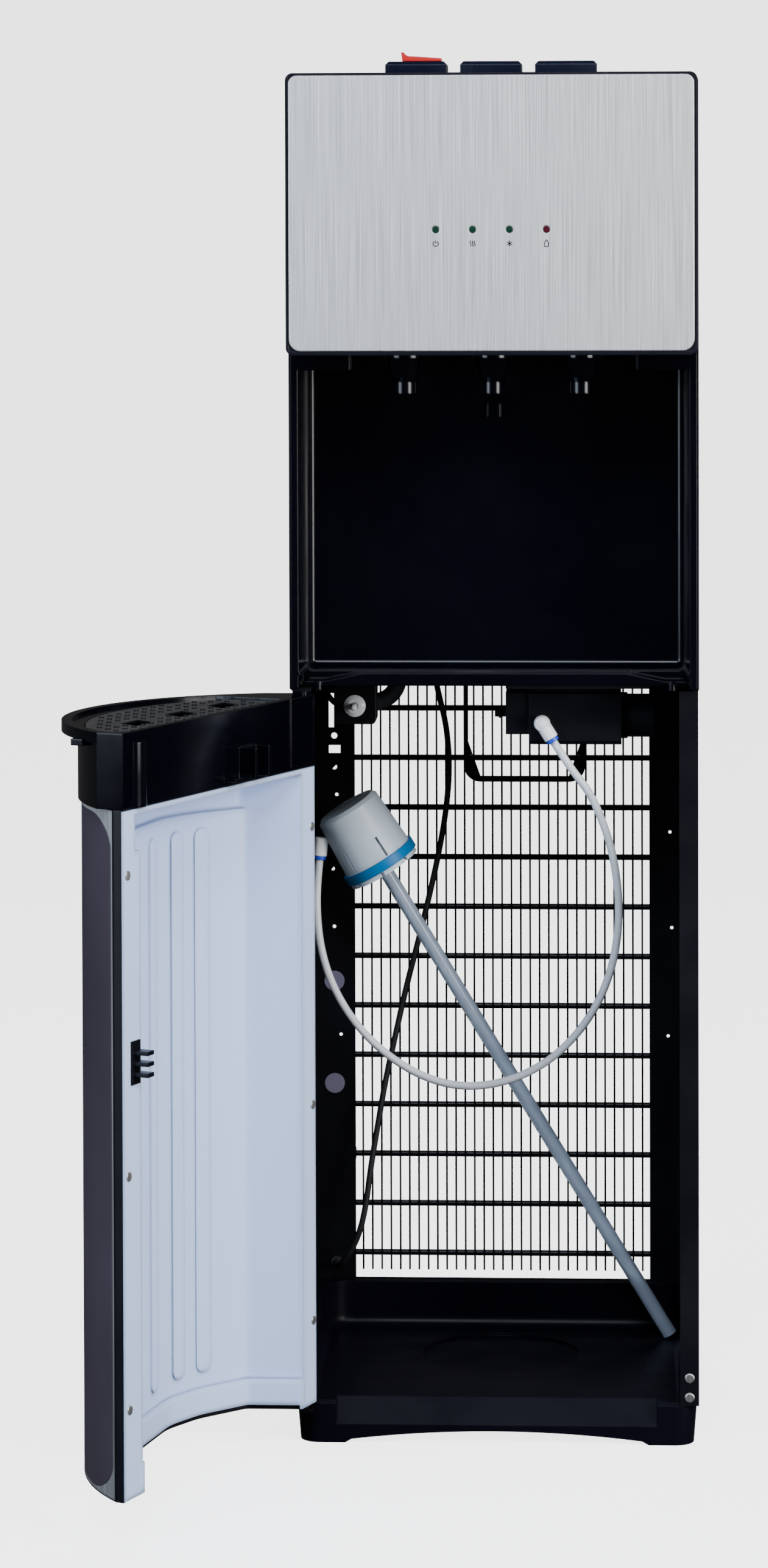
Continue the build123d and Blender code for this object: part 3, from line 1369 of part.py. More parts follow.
def drip_housing():
    """Black housing on the door's top with an overhanging rim and the tray's pocket."""
    low = door_high_z + seat_gap
    body = prism(bow_outline(door_half, housing_edge, housing_bow), low, housing_high_z)
    rim = bow_outline(door_half, rim_edge_depth, rim_bow)
    body += prism(rim, housing_high_z, rim_high_z)
    body += door_block(8, 45, -1.0, 6, low + 2, rim_high_z)
    body += upright(*dp(door_width - 25, 5), low, housing_high_z, 10)
    outer, inner = hinge_corner(low, rim_high_z)
    body -= outer
    body -= inner
    body -= prism(pocket_plan(0), pocket_floor_z, rim_high_z + 5)
    sink = prism(bow_outline(door_half, rim_edge_depth, rim_bow, 8.0), rim_high_z - rim_lip, rim_high_z + 5)
    body -= sink & door_block(pocket_u[0], pocket_u[1] + 3, 3, 200, low, rim_high_z + 5)
    under = bow_outline(door_half, housing_edge, housing_bow, 6.0)
    hollow = prism(under, low - 1, pocket_floor_z - 3)
    body -= hollow & door_block(30, door_width - 30, 0, 200, low - 1, rim_high_z)
    body -= upright(hinge_x, hinge_y, rim_high_z - hinge_pin_length - 3, rim_high_z + 1,
                    hinge_pin_radius + hinge_bore_clearance)
    body += door_block(door_width - 24, door_width - 12, 40, 50, housing_high_z - 4, housing_high_z + 1)
    return body + probe_hanger()


def probe_hanger():
    """Channel on the housing's inner face that the probe hangs in while a bottle is changed."""
    y = door_back_y
    x = hanger_u - door_half
    low, high = hanger_z
    hook = block(x - hanger_half, x + hanger_half, y - 1, y + 14, low, high)
    hook -= block(x - hanger_half + 4, x + hanger_half - 4, y + 3, y + 20, low - 1, high + 1)
    hook += block(x + hanger_half - 1, x + 38, y - 1, y + 10, low, low + 3)
    return hook


def drip_tray():
    """Lift-out tub under the grille."""
    top = rim_high_z - rim_lip - grille_thickness - seat_gap
    tub = prism(pocket_plan(tray_clearance), pocket_floor_z, top)
    tub -= prism(offset(pocket_plan(tray_clearance), amount=-tray_wall), pocket_floor_z + tray_wall, top + 1)
    return tub


def drip_grille():
    """Lift-out grille: a slanted slot under each tap and rows of round studs."""
    low = rim_high_z - rim_lip - grille_thickness
    plate = prism(pocket_plan(tray_clearance), low, low + grille_thickness)
    tap_v = door_back_y - tap_y
    slots = [tap_pitch * (i - 1) + door_half for i in range(3)]
    for u in slots:
        s, w, k = slot_half_u, slot_half_v, slot_slant / 2
        plate -= prism(door_polygon((u - s + k, tap_v - w), (u + s + k, tap_v - w),
                                    (u + s - k, tap_v + w), (u - s - k, tap_v + w)), low - 1, low + 5)
    rib_low = low - 3.0
    for v in (tap_v - slot_half_v - 5, tap_v + slot_half_v + 5):
        plate += door_block(pocket_u[0] + 50, pocket_u[1] - 50, v - 1, v + 1, rib_low, low)
    plan = offset(pocket_plan(tray_clearance), amount=-5.0)
    for row in range(stud_rows):
        for column in range(stud_columns):
            u = pocket_u[0] + 12 + column * stud_pitch + (row % 2) * stud_pitch / 2
            v = 13.0 + row * stud_pitch * 0.8
            clear = all(abs(u - s) > slot_half_u + 7 or abs(v - tap_v) > slot_half_v + 3 for s in slots)
            x, y = dp(u, v)
            if clear and plan.faces()[0].is_inside(Vector(x, y, 0)):
                stud = Pos(x, y) * RegularPolygon(stud_radius, 6)
                plate += prism(stud, low + grille_thickness - 0.2, low + grille_thickness + 1.0)
    return plate


# ---------------------------------------------------------------- switches and drain at the back
def rocker(x):
    """Rocker switch paddle in the rear panel, on its round pivot pin."""
    y = rear_y + 1.0
    outline = polygon((y - 5, rocker_z - 8), (y + 0.2, rocker_z - 8), (y + 2.2, rocker_z + 8),
                      (y - 5, rocker_z + 8))
    paddle = side_prism(outline, x - 4.2, x + 4.2)
    reach = rocker_half_width - seat_gap - pin_clearance
    return paddle + crosswise(rear_y - rocker_pin_depth, rocker_z, x - reach, x + reach, rocker_pin_radius)


def rocker_frame(x):
    """Frame that snaps into the rear panel round one rocker, with the bores for its pin."""
    bezel_x, bezel_z = rocker_half_width + rocker_frame_lip, rocker_half_height + rocker_frame_lip
    body_x, body_z = rocker_half_width - seat_gap, rocker_half_height - seat_gap
    frame = block(x - bezel_x, x + bezel_x, rear_y, rear_y + 1.5, rocker_z - bezel_z, rocker_z + bezel_z)
    frame += block(x - body_x, x + body_x, rear_y - rocker_frame_depth, rear_y + 1, rocker_z - body_z,
                   rocker_z + body_z)
    window_x, window_z = body_x - rocker_frame_wall, body_z - 1.1
    frame -= block(x - window_x, x + window_x, rear_y - rocker_frame_depth + 3, rear_y + 5,
                   rocker_z - window_z, rocker_z + window_z)
    return frame - crosswise(rear_y - rocker_pin_depth, rocker_z, x - body_x - 1, x + body_x + 1,
                             rocker_pin_radius + pin_clearance)


# ---------------------------------------------------------------- nodes
def build():
    """Make every node."""
    keep("base_tray", base_tray())
    keep("left_side_panel", side_panel(-1))
    keep("right_side_panel", side_panel(1))
    keep("pillar_screws", group(pillar_screws()))
    keep("rear_panel", rear_panel())
    keep("flange_plugs", group(hole_plugs()))
    keep("shelf_panel", shelf_panel())
    keep("hinge_plates", group(hinge_plates()))
    keep("alcove_liner", alcove_liner())
    keep("head_housing", head_housing())
    keep("head_front_plate", head_front_plate())
    keep("status_lamps", group([status_lamp(x) for x in lamp_xs]))
    keep("control_boards", group([display_board(), key_board()]))
    keep("top_cover", top_cover())
    for name, x in zip(("hot", "room", "cold"), key_xs):
        keep(name + "_key", key(x))
    keep("child_lock_catch", child_lock_catch())
    keep("taps", group([tap(x) for x in tap_xs]))
    keep("tap_valves", group([tap_valve(x) for x in tap_xs]))
    keep("compressor", compressor())
    keep("compressor_mounts", group(compressor_mounts()))
    keep("refrigerant_lines", group(refrigerant_lines()))
    keep("cold_tank", cold_tank())
    keep("hot_tank", hot_tank())
    keep("tank_stands", group(tank_stands()))
    keep("condenser_coil", condenser_coil())
    keep("condenser_wires", group(condenser_wires()))
    keep("condenser_clips", group(condenser_clips()))
    keep("pump_bracket", pump_bracket())
    keep("pump_body", pump_body())
    keep("pump_motor", pump_motor())
    keep("pump_elbow", elbow_fitting())
    keep("collet_rings", group(collet_rings()))
    keep("supply_hose", supply_hose())
    keep("switch_box", switch_box())
    keep("switch_bezel", switch_bezel())
    keep("switch_plunger", switch_plunger())
    keep("loop_pipe", loop_pipe())
    keep("arc_hose", arc_hose())
    keep("rear_handle", rear_handle())
    keep("black_lead", power_lead())
    keep("lead_bushes", group(lead_bushes()))
    keep("probe_cap", probe_cap())
    keep("probe_ring", probe_ring())
    keep("probe_socket", probe_socket())
    keep("dip_tube", dip_tube())
    keep("latch_strike", latch_strike())
    keep("rocker_frames", group([rocker_frame(x) for x in rocker_xs]))
    keep("cold_rocker", rocker(rocker_xs[0]))
    keep("hot_rocker", rocker(rocker_xs[1]))
    keep("door_shell", on_door(door_shell()))
    keep("door_steel_skin", on_door(door_steel_skin()))
    keep("door_front_panel", on_door(door_front_panel()))
    keep("door_liner", on_door(door_liner()))
    keep("liner_screws", group([on_door(screw) for screw in liner_screws()]))
    keep("door_latch", on_door(door_latch()))
    keep("drip_housing", on_door(drip_housing()))
    keep("drip_tray", on_door(drip_tray()))
    keep("drip_grille", on_door(drip_grille()))


build()
os.makedirs("parts", exist_ok=True)
for name, shape in parts.items():
    export_step(shape, "parts/%s.step" % name)
print("%d nodes" % len(parts))
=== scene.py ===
"""Looks of a bottom load water cooler: finishes, hose, lead, the plate's symbols and the stage."""
import math

import bpy
from bpy.props import FloatProperty, FloatVectorProperty, PointerProperty
from bpy.types import Operator, Panel, PropertyGroup
from mathutils import Matrix, Vector


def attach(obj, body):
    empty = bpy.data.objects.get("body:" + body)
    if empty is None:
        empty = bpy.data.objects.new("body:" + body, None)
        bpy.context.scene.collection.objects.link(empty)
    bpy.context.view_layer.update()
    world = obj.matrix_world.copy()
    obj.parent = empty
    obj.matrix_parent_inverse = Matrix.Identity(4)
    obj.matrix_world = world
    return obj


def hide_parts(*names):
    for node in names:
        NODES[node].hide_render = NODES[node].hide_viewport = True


bl_info = {
    "name": "Bottom load water cooler",
    "version": (1, 0, 0),
    "blender": (4, 5, 0),
    "location": "3D View > Sidebar > Water cooler",
    "description": "Finishes and soft pieces of a free-standing water cooler",
    "category": "Object",
}

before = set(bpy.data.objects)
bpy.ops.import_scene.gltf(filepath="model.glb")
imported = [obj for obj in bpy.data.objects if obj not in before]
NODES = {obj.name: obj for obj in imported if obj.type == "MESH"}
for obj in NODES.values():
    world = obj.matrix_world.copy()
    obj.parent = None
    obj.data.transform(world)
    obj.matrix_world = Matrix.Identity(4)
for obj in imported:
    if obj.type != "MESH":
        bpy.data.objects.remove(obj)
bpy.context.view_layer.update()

# Finishes; lengths are in metres
FORMED_EDGE = 0.006            # shaded rounding of the vacuum-formed liner
EDGE = 0.0014                  # shaded rounding of moulded and sheet edges
BRUSHING = (1500.0, 1500.0, 9.0)        # streaks per metre across and along the brushing, upright
PLASTIC_IOR = 1.49
LAMP_GREEN = (0.002, 0.026, 0.013)
LAMP_RED = (0.05, 0.003, 0.008)

# Printed symbols, in metres
LAMP_PITCH = 0.0283            # between two lamps, and so between two symbols
SYMBOL_DROP = 0.0108           # from the lamps' middle line down to the symbols
INK = 0.00012                  # thickness of the print
INK_OFFSET = 0.3 * INK         # from the plate's front to the print's middle
STROKE = 0.00070               # width of its lines

# Stage
FLOOR_SIZE = 40                # metres
FLOOR_CELLS = 8
COOL_WHITE = (0.72, 0.84, 1.0)
PALE_COOL_WHITE = (0.78, 0.87, 1.0)
CAMERA_PLACE = (0.07793, -3.62, 0.95153)
CAMERA_TURN = (2.698, 1.285, -0.172)    # left, down and roll, in degrees
CAMERA_SENSOR = (24.0, 36.0)   # width and height in mm
CAMERA_LENS = 101.84           # mm
CAMERA_SHIFT = -0.2817         # in heights of the frame

# Cords; places are in millimetres, as in the part's source
ELBOW = Vector((36.7, -84.0, 567.5))    # where the pump's elbow turns
ELBOW_TILT = math.radians(32)  # of its barrel, from straight down to the right
BARREL_END = 14                # from the turn to the barrel's face
STRAIGHT_END = 41              # from the turn to where the hose starts to bend


# ---------------------------------------------------------------- small helpers
def deselect():
    """Leave nothing selected and no edit mode open."""
    if bpy.context.object is not None and bpy.context.object.mode != "OBJECT":
        bpy.ops.object.mode_set(mode="OBJECT")
    bpy.ops.object.select_all(action="DESELECT")


def settle(obj):
    """Put the object's place into its mesh, so that it sits at the origin."""
    deselect()
    obj.select_set(True)
    bpy.context.view_layer.objects.active = obj
    bpy.ops.object.transform_apply(location=True, rotation=True, scale=True)


def named(name):
    """Name the active object and its data."""
    obj = bpy.context.object
    obj.name = name
    obj.data.name = name
    return obj


def join(objs, name):
    """Join several meshes into one object."""
    deselect()
    for obj in objs:
        obj.select_set(True)
    bpy.context.view_layer.objects.active = objs[0]
    bpy.ops.object.join()
    return named(name)


def coat(obj, finish):
    """Give an object this one finish."""
    obj.data.materials.clear()
    obj.data.materials.append(finish.material)


def shade(colour, factor):
    """A colour made darker or lighter."""
    return tuple(min(1.0, c * factor) for c in colour)


# ---------------------------------------------------------------- how a finish is built
class Finish:
    """A node material under construction: a Principled shader with procedural detail."""

    def __init__(self, name, colour, roughness, metallic=0.0, specular=0.5):
        self.material = bpy.data.materials.new(name)
        self.material.use_nodes = True
        self.tree = self.material.node_tree
        self.shader = self.tree.nodes["Principled BSDF"]
        self.set("Base Color", (*colour, 1.0))
        self.set("Roughness", roughness)
        self.set("Metallic", metallic)
        self.set("Specular IOR Level", specular)
        self.place = self.tree.nodes.new("ShaderNodeTexCoord").outputs["Object"]
        self.normal = None

    def set(self, socket, value):
        """Set one value of the shader."""
        self.shader.inputs[socket].default_value = value

    def node(self, kind, **values):
        """Add a node."""
        made = self.tree.nodes.new(kind)
        for key, value in values.items():
            setattr(made, key, value)
        return made

    def link(self, out, into):
        """Join two sockets."""
        self.tree.links.new(out, into)

    def noise(self, scale, detail, stretch=(1, 1, 1), roughness=0.5):
        """Noise in object space, with its cells squeezed by stretch along each axis."""
        mapping = self.node("ShaderNodeMapping")
        mapping.inputs["Scale"].default_value = stretch
        self.link(self.place, mapping.inputs["Vector"])
        made = self.node("ShaderNodeTexNoise")
        made.inputs["Scale"].default_value = scale
        made.inputs["Detail"].default_value = detail
        made.inputs["Roughness"].default_value = roughness
        self.link(mapping.outputs["Vector"], made.inputs["Vector"])
        return made.outputs["Fac"]

    def spread(self, source, low, high, from_low=0.3, from_high=0.7):
        """Map part of a pattern's range to another range of values."""
        made = self.node("ShaderNodeMapRange")
        made.inputs["From Min"].default_value = from_low
        made.inputs["From Max"].default_value = from_high
        made.inputs["To Min"].default_value = low
        made.inputs["To Max"].default_value = high
        self.link(source, made.inputs["Value"])
        return made.outputs["Result"]

    def vary_colour(self, source, dark, light, from_low=0.3, from_high=0.7):
        """Blend between two colours along a pattern."""
        ramp = self.node("ShaderNodeValToRGB")
        for stop, position, colour in zip(ramp.color_ramp.elements, (from_low, from_high), (dark, light)):
            stop.position = position
            stop.color = (*colour, 1.0)
        self.link(source, ramp.inputs["Fac"])
        self.link(ramp.outputs["Color"], self.shader.inputs["Base Color"])

    def vary_roughness(self, source, low, high):
        """Let the gloss follow a pattern."""
        self.link(self.spread(source, low, high), self.shader.inputs["Roughness"])

    def soft_edges(self, radius):
        """Shade the edges as if they were rounded."""
        made = self.node("ShaderNodeBevel", samples=4)
        made.inputs["Radius"].default_value = radius
        self.normal = made.outputs["Normal"]
        self.link(self.normal, self.shader.inputs["Normal"])

    def bump(self, source, strength, distance):
        """Add a bump on what shapes the surface so far."""
        made = self.node("ShaderNodeBump")
        made.inputs["Strength"].default_value = strength
        made.inputs["Distance"].default_value = distance
        self.link(source, made.inputs["Height"])
        if self.normal is not None:
            self.link(self.normal, made.inputs["Normal"])
        self.normal = made.outputs["Normal"]
        self.link(self.normal, self.shader.inputs["Normal"])


# ---------------------------------------------------------------- kinds of finish
def moulded(name, colour, roughness, grain=900.0, depth=0.00006, specular=0.5):
    """Moulded plastic: fine grain, slight tone and gloss changes."""
    finish = Finish(name, colour, roughness, specular=specular)
    finish.soft_edges(EDGE)
    finish.vary_colour(finish.noise(scale=9.0, detail=2.0), shade(colour, 0.92), shade(colour, 1.08))
    finish.vary_roughness(finish.noise(scale=30.0, detail=3.0), roughness * 0.85, min(1.0, roughness * 1.15))
    finish.bump(finish.noise(scale=grain, detail=2.0), strength=0.35, distance=depth)
    return finish


def glossy_plastic(name, colour, roughness, specular=0.5):
    """Glossy moulded plastic with a faint waviness and dust."""
    finish = Finish(name, colour, roughness, specular=specular)
    finish.soft_edges(EDGE)
    dust = finish.noise(scale=60.0, detail=4.0)
    finish.vary_colour(dust, colour, shade(colour, 1.25), from_low=0.45, from_high=0.8)
    finish.vary_roughness(finish.noise(scale=14.0, detail=3.0), roughness * 0.7, roughness * 1.5)
    finish.bump(finish.noise(scale=18.0, detail=1.0), strength=0.12, distance=0.0008)
    return finish


def formed_sheet(name, colour):
    """Vacuum-formed sheet: wide soft edges, an even tone and a very fine grain."""
    finish = Finish(name, colour, 0.38)
    finish.soft_edges(FORMED_EDGE)
    finish.vary_colour(finish.noise(scale=2.5, detail=1.0), shade(colour, 0.985), colour)
    finish.vary_roughness(finish.noise(scale=6.0, detail=2.0), 0.35, 0.42)
    finish.bump(finish.noise(scale=1200.0, detail=2.0), strength=0.15, distance=0.00003)
    return finish


def brushed_steel(name, colour, roughness, anisotropy=0.55):
    """Brushed metal: long fine upright streaks in broader bands."""
    finish = Finish(name, colour, roughness, metallic=1.0)
    finish.soft_edges(EDGE)
    streaks = finish.noise(scale=1.0, detail=4.0, stretch=BRUSHING, roughness=0.6)
    bands = finish.noise(scale=1.0, detail=2.0, stretch=tuple(0.8 * s for s in BRUSHING))
    blend = finish.node("ShaderNodeMath", operation="ADD")
    finish.link(streaks, blend.inputs[0])
    finish.link(finish.spread(bands, -0.12, 0.12), blend.inputs[1])
    finish.vary_colour(blend.outputs[0], shade(colour, 0.72), shade(colour, 1.20),
                       from_low=0.22, from_high=0.78)
    finish.vary_roughness(streaks, roughness * 0.9, roughness * 1.12)
    finish.bump(streaks, strength=0.12, distance=0.00003)
    finish.set("Anisotropic", anisotropy)
    return finish


def painted_steel(name, colour, roughness, peel=240.0, specular=0.25):
    """Powder-coated sheet with a fine orange peel."""
    finish = Finish(name, colour, roughness, specular=specular)
    finish.vary_colour(finish.noise(scale=6.0, detail=3.0), shade(colour, 0.85), shade(colour, 1.2))
    finish.bump(finish.noise(scale=peel, detail=2.0), strength=0.3, distance=0.0001)
    finish.vary_roughness(finish.noise(scale=20.0, detail=3.0), roughness * 0.85, roughness * 1.2)
    return finish


def rubber(name, colour, roughness=0.75):
    """Matt rubber."""
    finish = Finish(name, colour, roughness)
    finish.vary_colour(finish.noise(scale=40.0, detail=4.0), shade(colour, 0.8), shade(colour, 1.4))
    finish.bump(finish.noise(scale=700.0, detail=3.0), strength=0.4, distance=0.00008)
    return finish


def frosted(name, colour, roughness, clear):
    """Translucent moulded plastic; clear is the share of light that goes through."""
    finish = Finish(name, colour, roughness)
    finish.vary_colour(finish.noise(scale=25.0, detail=3.0), shade(colour, 0.93), shade(colour, 1.04))
    finish.bump(finish.noise(scale=300.0, detail=2.0), strength=0.2, distance=0.0001)
    finish.set("Transmission Weight", clear)
    finish.set("IOR", PLASTIC_IOR)
    finish.set("Subsurface Weight", 0.25)
    finish.set("Subsurface Radius", (0.01, 0.01, 0.01))
    finish.set("Subsurface Scale", 0.6)
    return finish


def lamp_lenses():
    """Unlit indicator lenses: dark red right of the third lamp, and dark green elsewhere."""
    finish = Finish("Indicator lenses", LAMP_GREEN, 0.25)
    split = finish.node("ShaderNodeSeparateXYZ")
    finish.link(finish.place, split.inputs["Vector"])
    ramp = finish.node("ShaderNodeValToRGB")
    ramp.color_ramp.interpolation = "CONSTANT"
    ramp.color_ramp.elements[0].color = (*LAMP_GREEN, 1.0)
    ramp.color_ramp.elements[1].position = 0.5
    ramp.color_ramp.elements[1].color = (*LAMP_RED, 1.0)
    across = finish.spread(split.outputs["X"], 0.0, 1.0, from_low=-LAMP_PITCH, from_high=3 * LAMP_PITCH)
    finish.link(across, ramp.inputs["Fac"])
    finish.link(ramp.outputs["Color"], finish.shader.inputs["Base Color"])
    finish.bump(finish.noise(scale=900.0, detail=2.0), strength=0.2, distance=0.00003)
    return finish


# ---------------------------------------------------------------- sizes and colours a user may change
class CoolerFinishes(PropertyGroup):
    """Colours of the main finishes."""

    plate: FloatVectorProperty(
        name="Head plate", description="Brushed steel of the head's front plate",
        subtype="COLOR", size=3, min=0.0, max=1.0, default=(0.66, 0.66, 0.67))
    trim: FloatVectorProperty(
        name="Door trim", description="Bare brushed steel at the door's corners",
        subtype="COLOR", size=3, min=0.0, max=1.0, default=(0.88, 0.88, 0.88))
    door: FloatVectorProperty(
        name="Door panel", description="Dark coated steel of the door",
        subtype="COLOR", size=3, min=0.0, max=1.0, default=(0.051, 0.040, 0.054))
    liner: FloatVectorProperty(
        name="Door liner", description="White vacuum-formed liner",
        subtype="COLOR", size=3, min=0.0, max=1.0, default=(0.57, 0.70, 1.0))
    cabinet: FloatVectorProperty(
        name="Cabinet", description="Black painted sheet steel",
        subtype="COLOR", size=3, min=0.0, max=1.0, default=(0.0025, 0.0025, 0.0045))
    ring: FloatVectorProperty(
        name="Probe ring", description="Blue ring at the probe's mouth",
        subtype="COLOR", size=3, min=0.0, max=1.0, default=(0.0, 0.15, 0.38))


class CoolerStage(PropertyGroup):
    """Floor, surroundings and lights."""

    floor: FloatVectorProperty(
        name="Floor", description="Colour of the pale floor",
        subtype="COLOR", size=3, min=0.0, max=1.0, default=(0.93, 0.93, 0.94))
    backdrop: FloatProperty(
        name="Backdrop", description="Brightness of the white surroundings as the camera sees them",
        min=0.0, max=20.0, default=3.0)
    ambient: FloatProperty(
        name="Ambient", description="Brightness of the surroundings as light on the pieces",
        min=0.0, max=5.0, default=0.05)
    left_light: FloatProperty(
        name="Left light", description="Power of the soft light at the front left, in watts",
        min=0.0, max=2000.0, default=105.0, unit="POWER")
    right_light: FloatProperty(
        name="Right light", description="Power of the soft light at the front right, in watts",
        min=0.0, max=2000.0, default=175.0, unit="POWER")
    top_light: FloatProperty(
        name="Top light", description="Power of the soft light above the front, in watts",
        min=0.0, max=2000.0, default=105.0, unit="POWER")
    rim_light: FloatProperty(
        name="Rim light", description="Power of the weak light above the back, in watts",
        min=0.0, max=2000.0, default=15.0, unit="POWER")
    floor_glow: FloatProperty(
        name="Floor glow", description="Own brightness of the floor, as on a lit table",
        min=0.0, max=20.0, default=2.9)


class CoolerCords(PropertyGroup):
    """Hose and lead."""

    hose_width: FloatProperty(
        name="Hose", description="Outer diameter of the white water hose",
        min=0.003, max=0.02, default=0.0064, unit="LENGTH")
    lead_width: FloatProperty(
        name="Lead", description="Outer diameter of the black lead",
        min=0.003, max=0.02, default=0.005, unit="LENGTH")


# ---------------------------------------------------------------- stage
def add_floor(options):
    """Pale floor that glows for the camera alone, so that it casts no light on the pieces."""
    deselect()
    bpy.ops.mesh.primitive_grid_add(x_subdivisions=FLOOR_CELLS, y_subdivisions=FLOOR_CELLS, size=FLOOR_SIZE)
    floor = named("Floor")
    settle(floor)
    finish = Finish("Pale floor", options.floor, 0.55)
    finish.vary_colour(finish.noise(scale=3.0, detail=3.0), shade(options.floor, 0.985), options.floor)
    finish.bump(finish.noise(scale=120.0, detail=2.0), strength=0.05, distance=0.0002)
    finish.set("Emission Color", (1.0, 1.0, 1.0, 1.0))
    finish.set("Emission Strength", options.floor_glow)
    coat(floor, finish)
    floor.visible_glossy = False
    floor.visible_diffuse = False


def surround(scene, options):
    """White surroundings, bright to the camera and dim as light on the pieces."""
    world = bpy.data.worlds.new("Pale surroundings")
    scene.world = world
    world.use_nodes = True
    nodes, links = world.node_tree.nodes, world.node_tree.links
    back = nodes["Background"]
    back.inputs["Color"].default_value = (1.0, 1.0, 1.0, 1.0)
    seen = nodes.new("ShaderNodeLightPath")
    level = nodes.new("ShaderNodeMapRange")
    level.inputs["To Min"].default_value = options.ambient
    level.inputs["To Max"].default_value = options.backdrop
    links.new(seen.outputs["Is Camera Ray"], level.inputs["Value"])
    links.new(level.outputs["Result"], back.inputs["Strength"])


def area_light(name, place, aim, size, power, colour=(1, 1, 1)):
    """A soft rectangular light."""
    data = bpy.data.lights.new(name, "AREA")
    data.shape = "RECTANGLE"
    data.size, data.size_y = size
    data.energy = power
    data.color = colour
    lamp = bpy.data.objects.new(name, data)
    bpy.context.scene.collection.objects.link(lamp)
    lamp.location = place
    lamp.rotation_euler = (Vector(aim) - Vector(place)).to_track_quat("-Z", "Y").to_euler()


def add_lights(options):
    """Two soft lights at the front, one above it and a weak one behind."""
    area_light("Left light", place=(-2.3, -2.3, 1.5), aim=(0, -0.1, 0.6), size=(1.5, 2.4),
               power=options.left_light, colour=COOL_WHITE)
    area_light("Right light", place=(2.5, -2.1, 1.4), aim=(-0.1, -0.1, 0.6), size=(1.5, 2.4),
               power=options.right_light)
    area_light("Top light", place=(0.0, -3.0, 2.9), aim=(0, -0.15, 0.7), size=(2.0, 0.8),
               power=options.top_light, colour=PALE_COOL_WHITE)
    area_light("Rim light", place=(-0.5, 1.9, 2.3), aim=(-0.2, -0.2, 0.6), size=(1.8, 0.5),
               power=options.rim_light)


def camera_pose():
    """Where the camera stands and how it is turned."""
    yaw, pitch, roll = (math.radians(a) for a in CAMERA_TURN)
    ahead = Vector((-math.sin(yaw) * math.cos(pitch), math.cos(yaw) * math.cos(pitch), -math.sin(pitch)))
    right = Vector((math.cos(yaw), math.sin(yaw), 0.0))
    up = right.cross(ahead)
    turned = math.cos(roll) * right + math.sin(roll) * up
    raised = math.cos(roll) * up - math.sin(roll) * right
    pose = Matrix((turned, raised, -ahead)).transposed().to_4x4()
    pose.translation = CAMERA_PLACE
    return pose


def add_camera(scene):
    """Camera at the photograph's place, with its perspective."""
    data = bpy.data.cameras.new("Photograph's camera")
    camera = bpy.data.objects.new("Photograph's camera", data)
    scene.collection.objects.link(camera)
    data.sensor_fit = "VERTICAL"
    data.sensor_width, data.sensor_height = CAMERA_SENSOR
    data.lens = CAMERA_LENS
    data.shift_y = CAMERA_SHIFT
    camera.matrix_world = camera_pose()
    scene.camera = camera


class COOLER_OT_stage(Operator):
    """Pale floor, soft lights and the camera at the photograph's angle"""

    bl_idname = "cooler.stage"
    bl_label = "Stage"

    def execute(self, context):
        options = context.scene.cooler_stage
        add_floor(options)
        surround(context.scene, options)
        add_lights(options)
        add_camera(context.scene)
        return {"FINISHED"}


# ---------------------------------------------------------------- finishes of the CAD nodes
def paint(finish, *names):
    """Give CAD nodes a finish."""
    for name in names:
        coat(NODES[name], finish)


def paint_black_mouldings():
    """Grained, satin and glossy black plastic."""
    grained = moulded("Black grained plastic", (0.003, 0.003, 0.0055), 0.40, grain=700.0, specular=0.22)
    paint(grained, "door_shell", "switch_box", "pump_body", "latch_strike", "rocker_frames",
          "door_latch", "condenser_clips", "drip_tray", "drip_grille")
    paint(moulded("Black base moulding", (0.0028, 0.0026, 0.0060), 0.34, grain=700.0, specular=0.09),
          "base_tray")
    paint(moulded("Satin black mouldings", (0.006, 0.006, 0.010), 0.30, grain=700.0, specular=0.16),
          "head_housing", "top_cover")
    paint(glossy_plastic("Glossy black plastic", (0.0012, 0.0012, 0.0030), 0.12, specular=0.30),
          "taps", "drip_housing")
    paint(glossy_plastic("Alcove plastic", (0.0010, 0.0010, 0.0030), 0.16, specular=0.27), "alcove_liner")
    paint(glossy_plastic("Glossy dark keys", (0.0030, 0.0042, 0.0120), 0.22, specular=0.35),
          "hot_key", "room_key", "cold_key")


def paint_coated_metal(tone):
    """Cabinet sheets, door panel, condenser and the machinery's cans."""
    paint(painted_steel("Black painted steel", tone.cabinet, 0.38),
          "left_side_panel", "right_side_panel", "rear_panel", "shelf_panel", "hinge_plates")
    paint(painted_steel("Dark door panel", tone.door, 0.55, peel=1400.0), "door_front_panel")
    paint(painted_steel("Black wire paint", (0.003, 0.003, 0.005), 0.36, peel=900.0),
          "condenser_coil", "condenser_wires", "rear_handle")
    paint(painted_steel("Grey bracket", (0.008, 0.009, 0.012), 0.5), "pump_bracket")
    paint(painted_steel("Motor can", (0.006, 0.0065, 0.009), 0.35), "pump_motor")
    paint(painted_steel("Black compressor", (0.01, 0.01, 0.01), 0.3), "compressor")


def paint_bare_metal(tone):
    """Brushed plate and door trim, screws, tubes and tanks."""
    paint(brushed_steel("Brushed head plate", tone.plate, 0.40, anisotropy=0.75), "head_front_plate")
    paint(brushed_steel("Brushed door steel", tone.trim, 0.46), "door_steel_skin")
    paint(brushed_steel("Zinc plated screws", (0.62, 0.62, 0.60), 0.4), "pillar_screws", "liner_screws")
    paint(brushed_steel("Copper tube", (0.62, 0.28, 0.15), 0.35), "refrigerant_lines")
    paint(brushed_steel("Stainless tank", (0.6, 0.6, 0.6), 0.3), "hot_tank")
    paint(brushed_steel("Galvanised sheet", (0.45, 0.46, 0.47), 0.5), "tank_stands")


